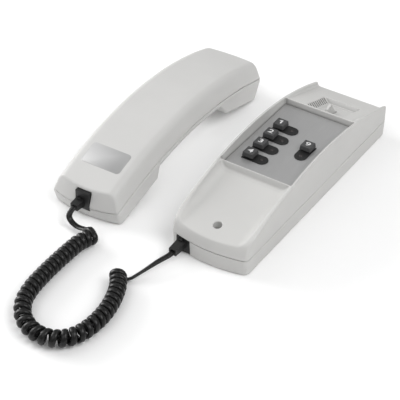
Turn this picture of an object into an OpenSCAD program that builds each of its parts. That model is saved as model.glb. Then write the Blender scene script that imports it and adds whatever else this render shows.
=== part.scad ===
// Lift intercom telephone: cradle base, handset lying beside it, curly cord.
// Frame: X across the base, Y from the cord end to the ear end, Z up from the
// base's back face, origin in the middle of that face. Sizes in millimetres.

/* [Base housing] */
// Width across the side walls
base_w = 67; // [64:0.5:72]
// Length along the middle
base_l = 221; // [216:1:230]
// Height of the side walls at the top of their arch
arch_h = 47.4; // [46:0.2:52]
// Radius of the arch seen from the side
arch_r = 290; // [280:1:330]
// Height of the seam between shell and cover
seam_z = 14.5; // [14:0.25:16]
// Moulded wall thickness
wall = 2.2; // [1.8:0.1:2.5]
// Thickness of the side walls beside the panel
rail_t = 2.0; // [1.6:0.1:2.6]
// Radius of the front end seen from above
front_r = 117; // [100:1:150]
// Radius of the upright front corners
corner_r = 5; // [3:0.5:7]

/* [Panel and keys] */
// Length of the metal panel
panel_l = 96.2; // [94.2:0.5:98.2]
// Width of the metal panel
panel_w = 62.2; // [60.4:0.2:62.6]
// Thickness of the metal panel
panel_t = 1.0; // [0.8:0.1:1.2]
// Pitch of the key column, six board steps
key_pitch = 15.24; // [14.6:0.02:15.8]
// Side of a square key cap
cap_w = 9.6; // [9:0.1:9.9]
// Height of a key cap
cap_h = 3.6; // [3:0.1:4]
// Travel of a key
key_travel = 1.0; // [0.6:0.1:1.1]
// Width of a key surround
surround_w = 10.5; // [10.2:0.1:11]

/* [Hook switch] */
// Depth of the ear pocket
pocket_d = 4.2; // [3.4:0.1:4.8]
// Height of the hook nose above the pocket floor
nose_h = 8.8; // [7.6:0.1:9.6]
// Diameter of the hook pivot pin
hook_pin_d = 3.0; // [2.5:0.1:3.5]

/* [Handset] */
// Width of the handset
hs_w = 63; // [61:0.5:65]
// Height of the handset's back at the top of its arch
hs_h = 47.2; // [46:0.2:49]
// Radius of the handset's back seen from the side
hs_back_r = 308; // [300:1:330]
// Radius of the rounded back edges
hs_edge_r = 14; // [11:0.5:15]
// Moulded wall thickness of the handset
hs_wall = 2.2; // [1.8:0.1:2.5]

/* [Cord] */
// Diameter of the cord
cord_d = 4.2; // [3.6:0.1:4.2]
// Outside diameter of the coil
coil_od = 14.2; // [13.2:0.1:14.4]
// Curls in the coil
curls = 40; // [36:1:40]

/* [Wall fixing] */
// Diameter of the two wall screw holes
wall_hole_d = 4.5; // [4:0.1:5.5]
// Distance between the wall screw holes
wall_hole_pitch = 120; // [100:1:130]

/* [Hidden] */
$fn = 64;
fit = 0.15;
run = 0.05;
gap = 0.3;
eps = 0.05;

// base: levels and stations
hw = base_w / 2;
yf = -base_l / 2;
yr = base_l / 2;
arch_y = 6.5;
arch_c = arch_h - arch_r;
panel_y = 8.3;
panel_gap = 0.4;
panel_top = arch_h - 10.2;
floor_top = panel_top - panel_t;
floor_bot = floor_top - wall;
rec_y0 = panel_y - panel_l / 2 - panel_gap;
rec_y1 = panel_y + panel_l / 2 + panel_gap;
rec_x = hw - rail_t;
lip_t = 1.9;
lip_y = rec_y0 - lip_t;
front_lean = 2.6;
dish_z0 = seam_z + 9.3;
dish_z1 = floor_top;
dish_y0 = yf + front_lean;
dish_m = (dish_z1 - dish_z0) / (lip_y - dish_y0);
ear_y0 = rec_y1;
ear_z0 = arch_at(ear_y0) - 0.2;
ear_z1 = arch_at(yr) - 3.3;
ear_m = (ear_z1 - ear_z0) / (yr - ear_y0);
ear_a = atan(ear_m);
ear_len = norm([yr - ear_y0, ear_z1 - ear_z0]);
dish_a = atan(dish_m);
tray_t = 2.4;
tray_r = 8;
pocket_x0 = -13.5;
pocket_x1 = 20;
pocket_s0 = 2.6;
pocket_l = ear_len * 0.572;
pocket_s1 = pocket_s0 + pocket_l;
pocket_foot = 5;
pocket_back = 2.3;
ear_r = 2.4;
slot_n = 10;
slot_w = 1.6;
slot_l = 5.6;
slot_in = 2.3;
slot_pitch = (pocket_l - 2 * slot_in) / (slot_n - 1);
groove = 0.5;

// base: fixings
case_y0 = yf + 17;
case_y1 = yr - 14;
case_x1 = 22;
case_hole_d = 7;
screw_d = 3;
screw_head_d = 5.6;
screw_head_h = 2.2;
screw_l = 10;
seat = 4;
boss_d = 8;
head_boss_d = case_hole_d + 4;
cover_y1 = 2;
cable_hole_d = 12;
cable_hole_y = -36;

// board and keys
board_t = 1.6;
board_top = floor_bot - 7;
board_bot = board_top - board_t;
board_w = 54;
board_l = 88;
board_y = panel_y - 0.8;
board_boss_x = 22.5;
board_boss_y = 38;
flange_h = 0.6;
flange_z = panel_top + flange_h;
cap_z = flange_z + key_travel + 0.3;
stem_d = 3.2;
collar_h = 0.6;
led_d = 3;
led_step = 10.4;
key_x = -17.5;
key_y1 = 25.5;
nine_x = 15.4;
nine_y = 11.4;
sw_w = 9;
sw_h = 4.2;
sw_depth = key_travel + 1;
keys = [
  [key_x, key_y1, 0],
  [key_x, key_y1 - key_pitch, 0],
  [key_x, key_y1 - 2 * key_pitch, 0],
  [key_x, key_y1 - 3 * key_pitch, 0],
  [nine_x, nine_y, -90]
];

// hook lever
hub_d = 7.4;
hub_y = ear_y0 + 3;
hub_z = floor_bot - 11;
hub_w = 12;
nose_gap = 0.6;
nose_swing = 2.6;
nose_a = 37.5;
nose_s0 = pocket_s0 + 2 * nose_gap;
nose_top = pocket_s0 + 5.9;
nose_s1 = nose_top + nose_h / tan(nose_a);
nose_x1 = 5.4;
nose_t = 2.2;
arm_l = 19;
arm_h = 5;
rib_t = 2.4;
tail_z = board_bot - 9.2;

// line terminals and sounder
term_w = 30;
term_l = 12;
term_h = 11;
term_pitch = 6.6;
term_hole_d = 3.6;
term_step = 16;
sounder_d = 22;
sounder_h = 9;
sounder_x = -17;
sounder_y = yr - 36;

// jacks and plugs
jack_w = 12.4;
jack_d = 15;
jack_x = -21.1;
jack_y = yf + 2.2;
jack_z0 = 1;
jack_z1 = seam_z - 0.3;
plug_w = 7.8;
plug_h = 6.8;
plug_in = 9;
plug_out = 12.5;
hs_plug_out = 8;
boot_taper = 0.88;
base_plug_x = -22.5;
base_plug_z = 8.6;

// handset, in its own frame: x across, y along, z up from the table
hs_x = -112;
hs_y = -6.5;
hs_turn = 1;
hs_hw = hs_w / 2;
hs_arch_y = 8;
hs_c = hs_h - hs_back_r;
hs_seam_h = hs_h - 15.6;
hs_seam_r = 340;
hs_under_h = hs_seam_h - 4;
hs_under_r = 289;
hs_y0 = -109.8;
hs_y1 = 113;
hs_end_r = 115;
mouth_y = -50.6;
mouth_z = 12.3;
ear_cup_y = 53.7;
ear_cup_z = 13.1;
mouth_flat = -101;
ear_flat = 101;
mouth_foot = 3.3;
mouth_belt = 11.5;
mouth_lean = 4.8;
mouth_brow = 25;
mouth_step = 3.5;
ear_foot = 9.5;
ear_belt = 16;
ear_lean = 1.5;
ear_brow = 30;
ear_step = 11;
hs_seam_gap = 0.1;
hs_jack_w = 13.2;
hs_jack_z0 = 7.4;
hs_jack_z1 = 23.4;
hs_jack_d = 14;
hs_plug_x = -2.6;
hs_plug_z = 13;
hs_screw_y0 = -66;
hs_screw_y1 = 98;
cap_y = 71;
mic_y = -82;
plate_l = 22.2;
plate_w = 35.5;
plate_t = 0.8;
plate_y = -77.2;

// cord route, laid out by hand
coil_r = (coil_od - cord_d) / 2;
coil_z = coil_od / 2 + 0.3;
route = [
  [-84.4, -138], [-88, -149.8], [-88.6, -164.4], [-88.4, -179.2], [-87.7, -194.1], [-86, -208.6],
  [-81.7, -222.4], [-73.6, -233.7], [-63, -240.8], [-52, -243.5], [-41.7, -241.9], [-33.3, -236.1],
  [-28.1, -227.2], [-25.8, -214.8], [-26.1, -200.6], [-29.4, -185.9], [-35, -172.4], [-41.6, -163], [-45.4, -159]
];
hs_tail = [
  [-112.4, -129, 10.2], [-109.8, -130.9, 6.6], [-102.6, -132.5, 5], [-93.6, -134, 7.6], [-87.2, -135.8, 11.8]
];
base_tail = [
  [-36, -157.5, 2.5], [-32.2, -149.8, 4.1], [-28.9, -141.4, 5.9], [-25.7, -133, 7.5]
];

function arch_at(y) = arch_c + sqrt(arch_r * arch_r - (y - arch_y) * (y - arch_y));
function dish_at(y) = dish_z0 + dish_m * (y - dish_y0);
function ear_at(y) = ear_z0 + ear_m * (y - ear_y0);
function ear_pt(s, n) =
  [ear_y0 + s * cos(ear_a) - n * sin(ear_a), ear_z0 + s * sin(ear_a) + n * cos(ear_a)];
function hs_back_at(y) = hs_c + sqrt(hs_back_r * hs_back_r - (y - hs_arch_y) * (y - hs_arch_y));

// plan outline of the base, drawn in by inset, its front moved out by ahead
module base_plan(inset, ahead = 0) {
  r = corner_r;
  fr = front_r - inset + ahead;
  cy = yf + front_r;
  kx = hw - inset - r;
  ky = cy - sqrt((fr - r) * (fr - r) - kx * kx);
  dx = kx / (fr - r);
  dy = (ky - cy) / (fr - r);
  difference() {
    intersection() {
      translate([-hw + inset, yf - 20]) square([base_w - 2 * inset, base_l + 20 - inset]);
      union() {
        translate([0, cy]) circle(r = fr, $fn = 256);
        translate([-hw, yf + 40]) square([base_w, base_l]);
      }
    }
    for (s = [-1, 1]) {
      difference() {
        polygon([
          [s * kx, ky], [s * (kx + 40), ky], [s * (kx + 40), ky - 60], [s * (kx + 40 * dx), ky + 40 * dy]
        ]);
        translate([s * kx, ky]) circle(r = r);
      }
    }
  }
}

// solid of extrusion across the base from a drawing in Y and Z
module across(w) {
  rotate([90, 0, 90]) linear_extrude(height = w, center = true) children();
}

// cylinder lying across the base
module roller(r, w) {
  rotate([0, 90, 0]) cylinder(r = r, h = w, center = true, $fn = 360);
}

// tray cutter: flat floor with rounded sides, floor along a slope through y, z
module tray_cut(y, z, a, half, r, back, ahead) {
  translate([0, y, z]) rotate([a, 0, 0]) translate([0, ahead, 0]) rotate([90, 0, 0])
    linear_extrude(height = back + ahead) union() {
      translate([-half, r]) square([2 * half, 60]);
      translate([-half + r, 0]) square([2 * half - 2 * r, 60]);
      translate([-half + r, r]) circle(r = r);
      translate([half - r, r]) circle(r = r);
    }
}

// ear pocket cutter, grown by g on every side, its left and rear walls sloping
module pocket_cut(g, up) {
  translate([0, ear_y0, ear_z0]) rotate([ear_a, 0, 0]) intersection() {
    translate([0, pocket_s1 + g + 1, 0]) rotate([90, 0, 0]) linear_extrude(height = pocket_l + 2 * g + 2)
      polygon([
        [pocket_x0 - g, up], [pocket_x0 - g, 0], [pocket_x0 + pocket_foot - g, -pocket_d - g],
        [pocket_x1 + g, -pocket_d - g], [pocket_x1 + g, up]
      ]);
    across(base_w) polygon([
      [pocket_s0 - g, up + 1], [pocket_s0 - g, -pocket_d - g - 1],
      [pocket_s1 - pocket_back + g, -pocket_d - g - 1], [pocket_s1 - pocket_back + g, -pocket_d - g],
      [pocket_s1 + g, 0], [pocket_s1 + g, up + 1]
    ]);
  }
}

// body under the arch, its front end running on as a flat slope
module arch_body() {
  y1 = yf + 14;
  m = (arch_y - y1) / (arch_at(y1) - arch_c);
  intersection() {
    translate([0, arch_y, arch_c]) roller(arch_r, base_w + 20);
    translate([-hw - 5, y1, 0]) cube([base_w + 10, base_l, 80]);
  }
  across(base_w + 10) polygon([
    [y1 + 1, 0], [y1 + 1, arch_at(y1)], [y1, arch_at(y1)], [yf - 6, arch_at(y1) + m * (yf - 6 - y1)], [yf - 6, 0]
  ]);
}

// leaning front face, then the slope on the front ends of the side walls
module front_body() {
  cy = yf + front_r;
  h = dish_z0 - seam_z;
  translate([0, cy, seam_z - h])
    cylinder(r1 = front_r + front_lean, r2 = front_r - front_lean, h = 2 * h, $fn = 256);
  translate([0, cy, dish_z0])
    cylinder(r1 = front_r - front_lean, r2 = front_r - front_lean - 30, h = 30, $fn = 256);
  translate([-hw - 5, yf + 30, 0]) cube([base_w + 10, base_l, 80]);
}

module base_outer() {
  intersection() {
    translate([0, 0, seam_z]) linear_extrude(height = 60) base_plan(0, 0.4);
    arch_body();
    front_body();
  }
}

module base_cavity() {
  difference() {
    intersection() {
      translate([0, 0, seam_z - 1]) linear_extrude(height = 60) base_plan(wall);
      across(base_w) polygon([
        [yf + 4.6, seam_z - 1], [yf + 4.6, dish_at(yf + 4.6) - wall],
        [lip_y - 1, dish_at(lip_y - 1) - wall - 0.4],
        [rec_y1 + 0.4, floor_bot], [rec_y1 + wall, ear_at(rec_y1 + wall) - wall - 0.4],
        [yr - wall, ear_at(yr - wall) - wall - 0.2], [yr - wall, seam_z - 1]
      ]);
    }
    pocket_cut(wall - 0.2, 5);
  }
}

module base_top_shell() {
  color([0.82, 0.82, 0.81]) difference() {
    union() {
      difference() {
        base_outer();
        base_cavity();
        // mouth tray, panel recess and ear tray
        intersection() {
          tray_cut(dish_y0, dish_z0, dish_a, hw - tray_t, tray_r, 20, 120);
          translate([-hw, yf - 10, 0]) cube([base_w, lip_y - yf + 10, 80]);
        }
        translate([-rec_x, rec_y0, floor_top]) cube([2 * rec_x, rec_y1 - rec_y0, 40]);
        translate([-rec_x, lip_y - 1, arch_at(lip_y) - 1.1]) cube([2 * rec_x, rec_y0 - lip_y + 2, 40]);
        tray_cut(ear_y0, ear_z0, ear_a, hw - tray_t, ear_r, 4, base_l);
        pocket_cut(0, 10);
      }
      intersection() {
        union() {
          translate([0, case_y0, seam_z]) cylinder(d = head_boss_d, h = 30);
          for (s = [-1, 1]) {
            translate([s * case_x1, case_y1, seam_z]) cylinder(d = boss_d, h = 30);
            for (t = [-1, 1]) {
              translate([s * board_boss_x, board_y + t * board_boss_y, board_top])
                cylinder(d = 6, h = floor_bot - board_top + 2);
            }
            translate([s * (hub_w / 2 + gap + rib_t / 2) - rib_t / 2, hub_y - 5, hub_z - 5])
              cube([rib_t, 10, 30]);
          }
        }
        across(base_w) polygon([
          [yf + 4.6, seam_z], [yf + 4.6, dish_at(yf + 4.6) - 1], [lip_y - 1, dish_at(lip_y - 1) - 1],
          [lip_y - 1, floor_bot + 1], [rec_y1, floor_bot + 1], [rec_y1 + 0.5, ear_at(rec_y1) - 1],
          [yr - wall, ear_at(yr - wall) - 1], [yr - wall, seam_z]
        ]);
      }
    }
    // key openings through the floor
    for (k = keys) {
      translate([k[0], k[1], floor_bot - 1]) rotate([0, 0, k[2]])
        linear_extrude(height = wall + 2) surround_plan(-0.7);
    }
    // case screw holes: from above at the mouth end, from below at the ear end
    translate([0, case_y0, seam_z - 1]) cylinder(d = screw_d + 0.4, h = 30);
    translate([0, case_y0, seam_z + seat]) cylinder(d = case_hole_d, h = 30);
    for (s = [-1, 1]) {
      translate([s * case_x1, case_y1, seam_z - 1]) cylinder(d = screw_d, h = 9);
      for (t = [-1, 1]) {
        translate([s * board_boss_x, board_y + t * board_boss_y, board_top - 1]) cylinder(d = 2.2, h = 7);
      }
    }
    // hook lever: opening in the pocket floor, pin bore in the two ribs
    translate([0, ear_y0, ear_z0]) rotate([ear_a, 0, 0])
      translate([nose_x1 - nose_t - nose_gap, nose_s0 - nose_gap, -pocket_d - 4])
        cube([nose_t + 2 * nose_gap, nose_s1 - nose_s0 + nose_gap + nose_swing, 5]);
    translate([0, hub_y, hub_z]) roller(hook_pin_d / 2, hub_w + 3 * rib_t);
    // grille slots in the sloping side of the pocket
    translate([0, ear_y0, ear_z0]) rotate([ear_a, 0, 0]) for (i = [0:slot_n - 1]) {
      translate([pocket_x0 + pocket_foot / 2, pocket_s0 + slot_in + slot_pitch * i, -pocket_d / 2])
        rotate([0, atan2(pocket_d, pocket_foot), 0]) cube([slot_l, slot_w, 14], center = true);
    }
    // slot that clears the jack's top and lets its face through
    translate([jack_x - jack_w / 2 - fit, yf - 1, seam_z - 1]) cube([jack_w + 2 * fit, jack_d + 4, 1 + eps]);
  }
}

// outline of a key surround: cap at the origin, round end along +X
module surround_plan(grow) {
  w = surround_w + 2 * grow;
  translate([-surround_w / 2 - grow, -w / 2]) square([surround_w / 2 + grow + led_step, w]);
  translate([led_step, 0]) circle(d = w);
}

module base_bottom_cover() {
  color([0.78, 0.78, 0.77]) difference() {
    union() {
      difference() {
        intersection() {
          union() {
            linear_extrude(height = seam_z - 0.6) base_plan(0);
            linear_extrude(height = seam_z) base_plan(groove);
          }
          across(base_w + 2) polygon([
            [yf + 0.7, 0], [yf - 1, seam_z], [yr + 1, seam_z], [yr, seam_z - 0.6], [yr - 2, 0]
          ]);
        }
        translate([0, 0, wall]) intersection() {
          linear_extrude(height = 40) base_plan(wall + 0.4);
          across(base_w) polygon([
            [yf + 3.4, 0], [yf + 2.8, 40], [yr - wall - 0.4, 40], [yr - wall - 2.4, 0]
          ]);
        }
      }
      translate([0, case_y0, wall - eps]) cylinder(d = boss_d, h = seam_z - wall + eps);
      for (s = [-1, 1]) {
        translate([s * case_x1, case_y1, wall - eps]) cylinder(d = head_boss_d, h = seam_z - wall + eps);
        translate([0, cover_y1 + s * wall_hole_pitch / 2, wall - eps]) cylinder(d = wall_hole_d + 6, h = 2.5);
      }
    }
    // screw holes
    translate([0, case_y0, wall + 1]) cylinder(d = screw_d, h = 30);
    for (s = [-1, 1]) {
      translate([s * case_x1, case_y1, -1]) cylinder(d = screw_d + 0.4, h = 30);
      translate([s * case_x1, case_y1, -1]) cylinder(d = case_hole_d, h = seam_z - seat + 1);
      translate([0, cover_y1 + s * wall_hole_pitch / 2, -1]) cylinder(d = wall_hole_d, h = 8);
    }
    translate([0, cable_hole_y, -1]) cylinder(d = cable_hole_d, h = 8);
    // jack opening at the front left
    translate([jack_x - jack_w / 2 - fit, yf - 2, jack_z0]) cube([jack_w + 2 * fit, jack_d + 2 + 2.4, 30]);
  }
}

module key_panel() {
  color([0.6, 0.6, 0.6]) difference() {
    translate([-panel_w / 2, panel_y - panel_l / 2, floor_top]) cube([panel_w, panel_l, panel_t]);
    for (k = keys) {
      translate([k[0], k[1], floor_top - 1]) rotate([0, 0, k[2]])
        linear_extrude(height = panel_t + 2) surround_plan(-0.7);
    }
  }
}

module key_surrounds() {
  color([0.12, 0.12, 0.12]) for (k = keys) {
    translate([k[0], k[1], 0]) rotate([0, 0, k[2]]) difference() {
      union() {
        translate([0, 0, panel_top]) linear_extrude(height = flange_h) surround_plan(0);
        translate([0, 0, floor_bot - 1])
          linear_extrude(height = panel_top - floor_bot + 1 + eps) surround_plan(-0.85);
      }
      translate([0, 0, floor_bot - 3]) cylinder(d = stem_d + 2 * gap, h = 20);
      translate([led_step, 0, floor_bot - 3]) cylinder(d = led_d + 2 * run, h = 20);
    }
  }
}

// one key cap: tapered block on a round stem, held by a collar under the surround
module key_cap(i) {
  k = keys[i];
  color([0.27, 0.27, 0.28]) translate([k[0], k[1], 0]) {
    translate([0, 0, cap_z])
      linear_extrude(height = cap_h, scale = 0.93) square([cap_w, cap_w], center = true);
    translate([0, 0, board_top + sw_h - 0.6]) cylinder(d = stem_d, h = cap_z - board_top - sw_h + 1);
    translate([0, 0, floor_bot - 1 - collar_h]) cylinder(d = stem_d + 2.4, h = collar_h);
  }
}

module key_cap_1() { key_cap(0); }
module key_cap_2() { key_cap(1); }
module key_cap_3() { key_cap(2); }
module key_cap_4() { key_cap(3); }
module key_cap_9() { key_cap(4); }

module indicator_lamps() {
  color([0.4, 0.12, 0.1]) for (k = keys) {
    translate([k[0], k[1], 0]) rotate([0, 0, k[2]]) translate([led_step, 0, 0]) {
      translate([0, 0, board_top]) cylinder(d = led_d, h = flange_z - board_top + 0.2);
    }
  }
}

module circuit_board() {
  color([0.1, 0.35, 0.2]) difference() {
    translate([-board_w / 2, board_y - board_l / 2, board_bot]) cube([board_w, board_l, board_t]);
    for (s = [-1, 1]) {
      for (t = [-1, 1]) {
        translate([s * board_boss_x, board_y + t * board_boss_y, board_bot - 1])
          cylinder(d = 3, h = board_t + 2);
      }
    }
  }
}

module key_switches() {
  color([0.15, 0.15, 0.16]) for (k = keys) {
    translate([k[0], k[1], board_top]) difference() {
      translate([-sw_w / 2, -sw_w / 2, 0]) cube([sw_w, sw_w, sw_h]);
      translate([0, 0, sw_h - 0.6 - sw_depth]) cylinder(d = stem_d + 2 * gap, h = 10);
    }
  }
}

module board_screws() {
  color([0.7, 0.7, 0.72]) for (s = [-1, 1]) {
    for (t = [-1, 1]) {
      translate([s * board_boss_x, board_y + t * board_boss_y, board_bot]) {
        translate([0, 0, -1.6]) cylinder(d = 4.4, h = 1.6);
        cylinder(d = 2.2, h = board_t + 4.5);
      }
    }
  }
}

module hook_lever() {
  color([0.82, 0.82, 0.81]) {
    difference() {
      union() {
        translate([0, hub_y, hub_z]) roller(hub_d / 2, hub_w);
        // arm from the hub back under the nose
        across(hub_w - 2) polygon([
          [hub_y, hub_z - 3.2], [hub_y + arm_l, hub_z - 1.6], [hub_y + arm_l, hub_z + arm_h],
          [hub_y + 9, hub_z + arm_h], [hub_y, hub_z + 3.2]
        ]);
        // tail that works the switch
        across(hub_w - 2) polygon([
          [hub_y - 1, hub_z - 2], [hub_y - 9, tail_z], [hub_y - 17, tail_z], [hub_y - 17, tail_z - 2.2],
          [hub_y - 8, tail_z - 2.2], [hub_y + 2, hub_z - 3]
        ]);
        // nose: a blade with two equal slopes, standing up through the pocket floor
        translate([nose_x1 - nose_t / 2, 0, 0]) across(nose_t) polygon([
          [hub_y + 2, hub_z + 2], ear_pt(nose_s0, -pocket_d - wall),
          ear_pt(nose_s0, nose_h - pocket_d - (nose_top - nose_s0) * tan(nose_a)),
          ear_pt(nose_top, nose_h - pocket_d), ear_pt(nose_s1, -pocket_d), ear_pt(nose_s1, -pocket_d - wall),
          [hub_y + arm_l - 2, hub_z + 2]
        ]);
      }
      translate([0, hub_y, hub_z]) roller(hook_pin_d / 2 + run, hub_w + 10);
    }
  }
}

module hook_pin() {
  color([0.7, 0.7, 0.72]) translate([0, hub_y, hub_z]) roller(hook_pin_d / 2, hub_w + 2 * gap + 2 * rib_t);
}

module hook_switch() {
  color([0.12, 0.12, 0.13]) {
    translate([-6.4, hub_y - 18, board_bot - 5.6]) cube([12.8, 6, 5.6]);
    translate([-1.2, hub_y - 16, board_bot - 6.4]) cube([2.4, 2, 1]);
  }
}

module sounder() {
  color([0.1, 0.1, 0.1]) translate([sounder_x, sounder_y, wall]) difference() {
    cylinder(d = sounder_d, h = sounder_h);
    translate([0, 0, sounder_h - 2]) cylinder(d = 3, h = 5);
  }
}

module terminal_block() {
  color([0.2, 0.35, 0.25]) translate([0, cable_hole_y + term_step, wall]) difference() {
    translate([-term_w / 2, -term_l / 2, 0]) cube([term_w, term_l, term_h]);
    for (i = [-1.5:1:1.5]) {
      translate([i * term_pitch, 0, term_h / 2]) cylinder(d = term_hole_d, h = term_h);
      translate([i * term_pitch, term_l / 2 - 1, term_h / 3]) rotate([-90, 0, 0])
        cylinder(d = term_hole_d - 0.6, h = 5);
    }
  }
}

// modular jack: front face towards -Y at the origin, open for the plug
module jack(w, h, d, px, pz) {
  difference() {
    translate([-w / 2, 0, 0]) cube([w, d, h]);
    translate([px - plug_w / 2 - fit, -1, pz - plug_h / 2 - fit])
      cube([plug_w + 2 * fit, plug_in + 1 + fit, plug_h + 2 * fit]);
    translate([px - 1.8, -1, pz + plug_h / 2]) cube([3.6, plug_in + 1, 1.6]);
  }
}

// modular plug: its nose along +Y in a jack, its boot along -Y
module plug(out) {
  difference() {
    union() {
      translate([-plug_w / 2, 0, -plug_h / 2]) cube([plug_w, plug_in, plug_h]);
      translate([0, eps, 0]) rotate([90, 0, 0]) linear_extrude(height = out + eps, scale = boot_taper)
        square([plug_w - 0.6, plug_h - 0.6], center = true);
      translate([-1.6, -2, plug_h / 2 - 0.6]) cube([3.2, 10, 1.8]);
    }
    translate([0, -out - 1, 0]) rotate([-90, 0, 0]) cylinder(d = cord_d + 0.2, h = 5.2);
  }
}

module base_jack() {
  color([0.08, 0.08, 0.08]) translate([jack_x, jack_y, jack_z0])
    jack(jack_w, jack_z1 - jack_z0, jack_d, base_plug_x - jack_x, base_plug_z - jack_z0);
}

module base_plug() {
  color([0.1, 0.1, 0.1]) translate([base_plug_x, jack_y, base_plug_z]) plug(plug_out);
}

// screw standing point down: underside of the head at the origin
module case_screw() {
  cylinder(d = screw_head_d, h = screw_head_h);
  translate([0, 0, -screw_l]) cylinder(d = screw_d, h = screw_l + eps);
}

module case_screws() {
  color([0.55, 0.55, 0.56]) {
    translate([0, case_y0, seam_z + seat]) case_screw();
    for (s = [-1, 1]) {
      translate([s * case_x1, case_y1, seam_z - seat]) rotate([180, 0, 0]) case_screw();
    }
  }
}

// handset placed beside the base
module in_handset() {
  translate([hs_x, hs_y, 0]) rotate([0, 0, hs_turn]) children();
}

// plan outline of the handset, drawn in by inset
module hs_plan(inset) {
  r = 6;
  fr = hs_end_r - inset;
  kx = hs_hw - inset - r;
  difference() {
    intersection() {
      translate([-hs_hw + inset, hs_y0 - 20]) square([hs_w - 2 * inset, hs_y1 - hs_y0 + 40]);
      translate([0, hs_y0 + hs_end_r]) union() {
        circle(r = fr, $fn = 256);
        translate([-hs_w, 0]) square([2 * hs_w, 300]);
      }
      translate([0, hs_y1 - hs_end_r]) union() {
        circle(r = fr, $fn = 256);
        translate([-hs_w, -300]) square([2 * hs_w, 300]);
      }
    }
    for (s = [-1, 1]) {
      for (e = [-1, 1]) {
        cy = e < 0 ? hs_y0 + hs_end_r : hs_y1 - hs_end_r;
        ky = cy + e * sqrt((fr - r) * (fr - r) - kx * kx);
        dx = kx / (fr - r);
        dy = (ky - cy) / (fr - r);
        difference() {
          polygon([
            [s * kx, ky], [s * (kx + 40), ky], [s * (kx + 40), ky + e * 60],
            [s * (kx + 40 * dx), ky + 40 * dy]
          ]);
          translate([s * kx, ky]) circle(r = r);
        }
      }
    }
  }
}

// side outline of the handset, drawn in by inset: end faces, cups and the space over the grip
module hs_side(inset) {
  i = inset;
  across(hs_w + 10) polygon([
    [hs_y0 + mouth_foot + i, i], [hs_y0 + i, mouth_belt], [hs_y0 + mouth_lean + i, mouth_brow - i * 0.4],
    [hs_y0 + 40, 2 * hs_h], [hs_y1 - 40, 2 * hs_h],
    [hs_y1 - ear_lean - i, ear_brow - i], [hs_y1 - i, ear_belt], [hs_y1 - ear_foot - i, i],
    [ear_flat, i], [ear_cup_y + 0.6 * i, ear_cup_z + i],
    [ear_cup_y - ear_step + 0.6 * i, hs_under_at(ear_cup_y - ear_step) + i],
    [mouth_y + mouth_step - 0.6 * i, hs_under_at(mouth_y + mouth_step) + i],
    [mouth_y - 0.6 * i, mouth_z + i], [mouth_flat, i]
  ]);
}

function hs_under_at(y) =
  hs_under_h - hs_under_r + sqrt(hs_under_r * hs_under_r - (y - hs_arch_y) * (y - hs_arch_y));

// body of revolution of the back: rounded edges swept along the arch
module hs_back_body(inset) {
  rr = hs_edge_r - inset;
  ro = hs_back_r - inset;
  h = hs_hw - inset;
  translate([0, hs_arch_y, hs_c]) rotate([0, 90, 0]) rotate_extrude($fn = 360) union() {
    translate([ro - 60, -h]) square([60 - rr, 2 * h]);
    translate([ro - 60, -h + rr]) square([60, 2 * h - 2 * rr]);
    translate([ro - rr, -h + rr]) circle(r = rr);
    translate([ro - rr, h - rr]) circle(r = rr);
  }
}

// body below the seam: an arch that runs on flat at both ends
module hs_seam_body() {
  a = hs_y0 + 13;
  b = hs_y1 - 13;
  ma = (hs_arch_y - a) / (hs_seam_at(a) - hs_seam_h + hs_seam_r);
  mb = (hs_arch_y - b) / (hs_seam_at(b) - hs_seam_h + hs_seam_r);
  intersection() {
    translate([0, hs_arch_y, hs_seam_h - hs_seam_r]) roller(hs_seam_r, hs_w + 20);
    translate([-hs_hw - 5, a, -5]) cube([hs_w + 10, b - a, 60]);
  }
  across(hs_w + 10) polygon([[a, -5], [a, hs_seam_at(a)], [a - 30, hs_seam_at(a) - 30 * ma], [a - 30, -5]]);
  across(hs_w + 10) polygon([[b, -5], [b, hs_seam_at(b)], [b + 30, hs_seam_at(b) + 30 * mb], [b + 30, -5]]);
}

module hs_grip_cut(inset) {
  intersection() {
    translate([0, hs_arch_y, hs_under_h + inset - hs_under_r]) roller(hs_under_r, hs_w + 20);
    across(hs_w + 20) polygon([
      [mouth_y + mouth_step - 0.5 - 0.6 * inset, -10], [mouth_y + mouth_step - 0.5 - 0.6 * inset, 60],
      [ear_cup_y - ear_step + 0.5 + 0.6 * inset, 60], [ear_cup_y - ear_step + 0.5 + 0.6 * inset, -10]
    ]);
  }
}

module handset_back_shell() {
  color([0.83, 0.83, 0.82]) in_handset() difference() {
    union() {
      difference() {
        intersection() {
          linear_extrude(height = 80) hs_plan(0);
          hs_side(0);
          hs_back_body(0);
        }
        intersection() {
          translate([0, 0, -1]) linear_extrude(height = 80) hs_plan(hs_wall);
          hs_side(hs_wall);
          hs_back_body(hs_wall);
        }
      }
      intersection() {
        for (y = [hs_screw_y0, hs_screw_y1]) {
          translate([0, y, 10]) cylinder(d = 7, h = 60);
        }
        hs_back_body(hs_wall / 2);
      }
    }
    translate([0, 0, hs_seam_gap]) hs_seam_body();
    for (y = [hs_screw_y0, hs_screw_y1]) {
      translate([0, y, 10]) cylinder(d = 2.6, h = hs_back_at(y) - 10 - hs_wall - 1.5);
    }
    translate([-hs_jack_w / 2 - fit, hs_y0 - 2, 0])
      cube([hs_jack_w + 2 * fit, hs_jack_d + 4.3, hs_jack_z1 + fit]);
  }
}

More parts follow.
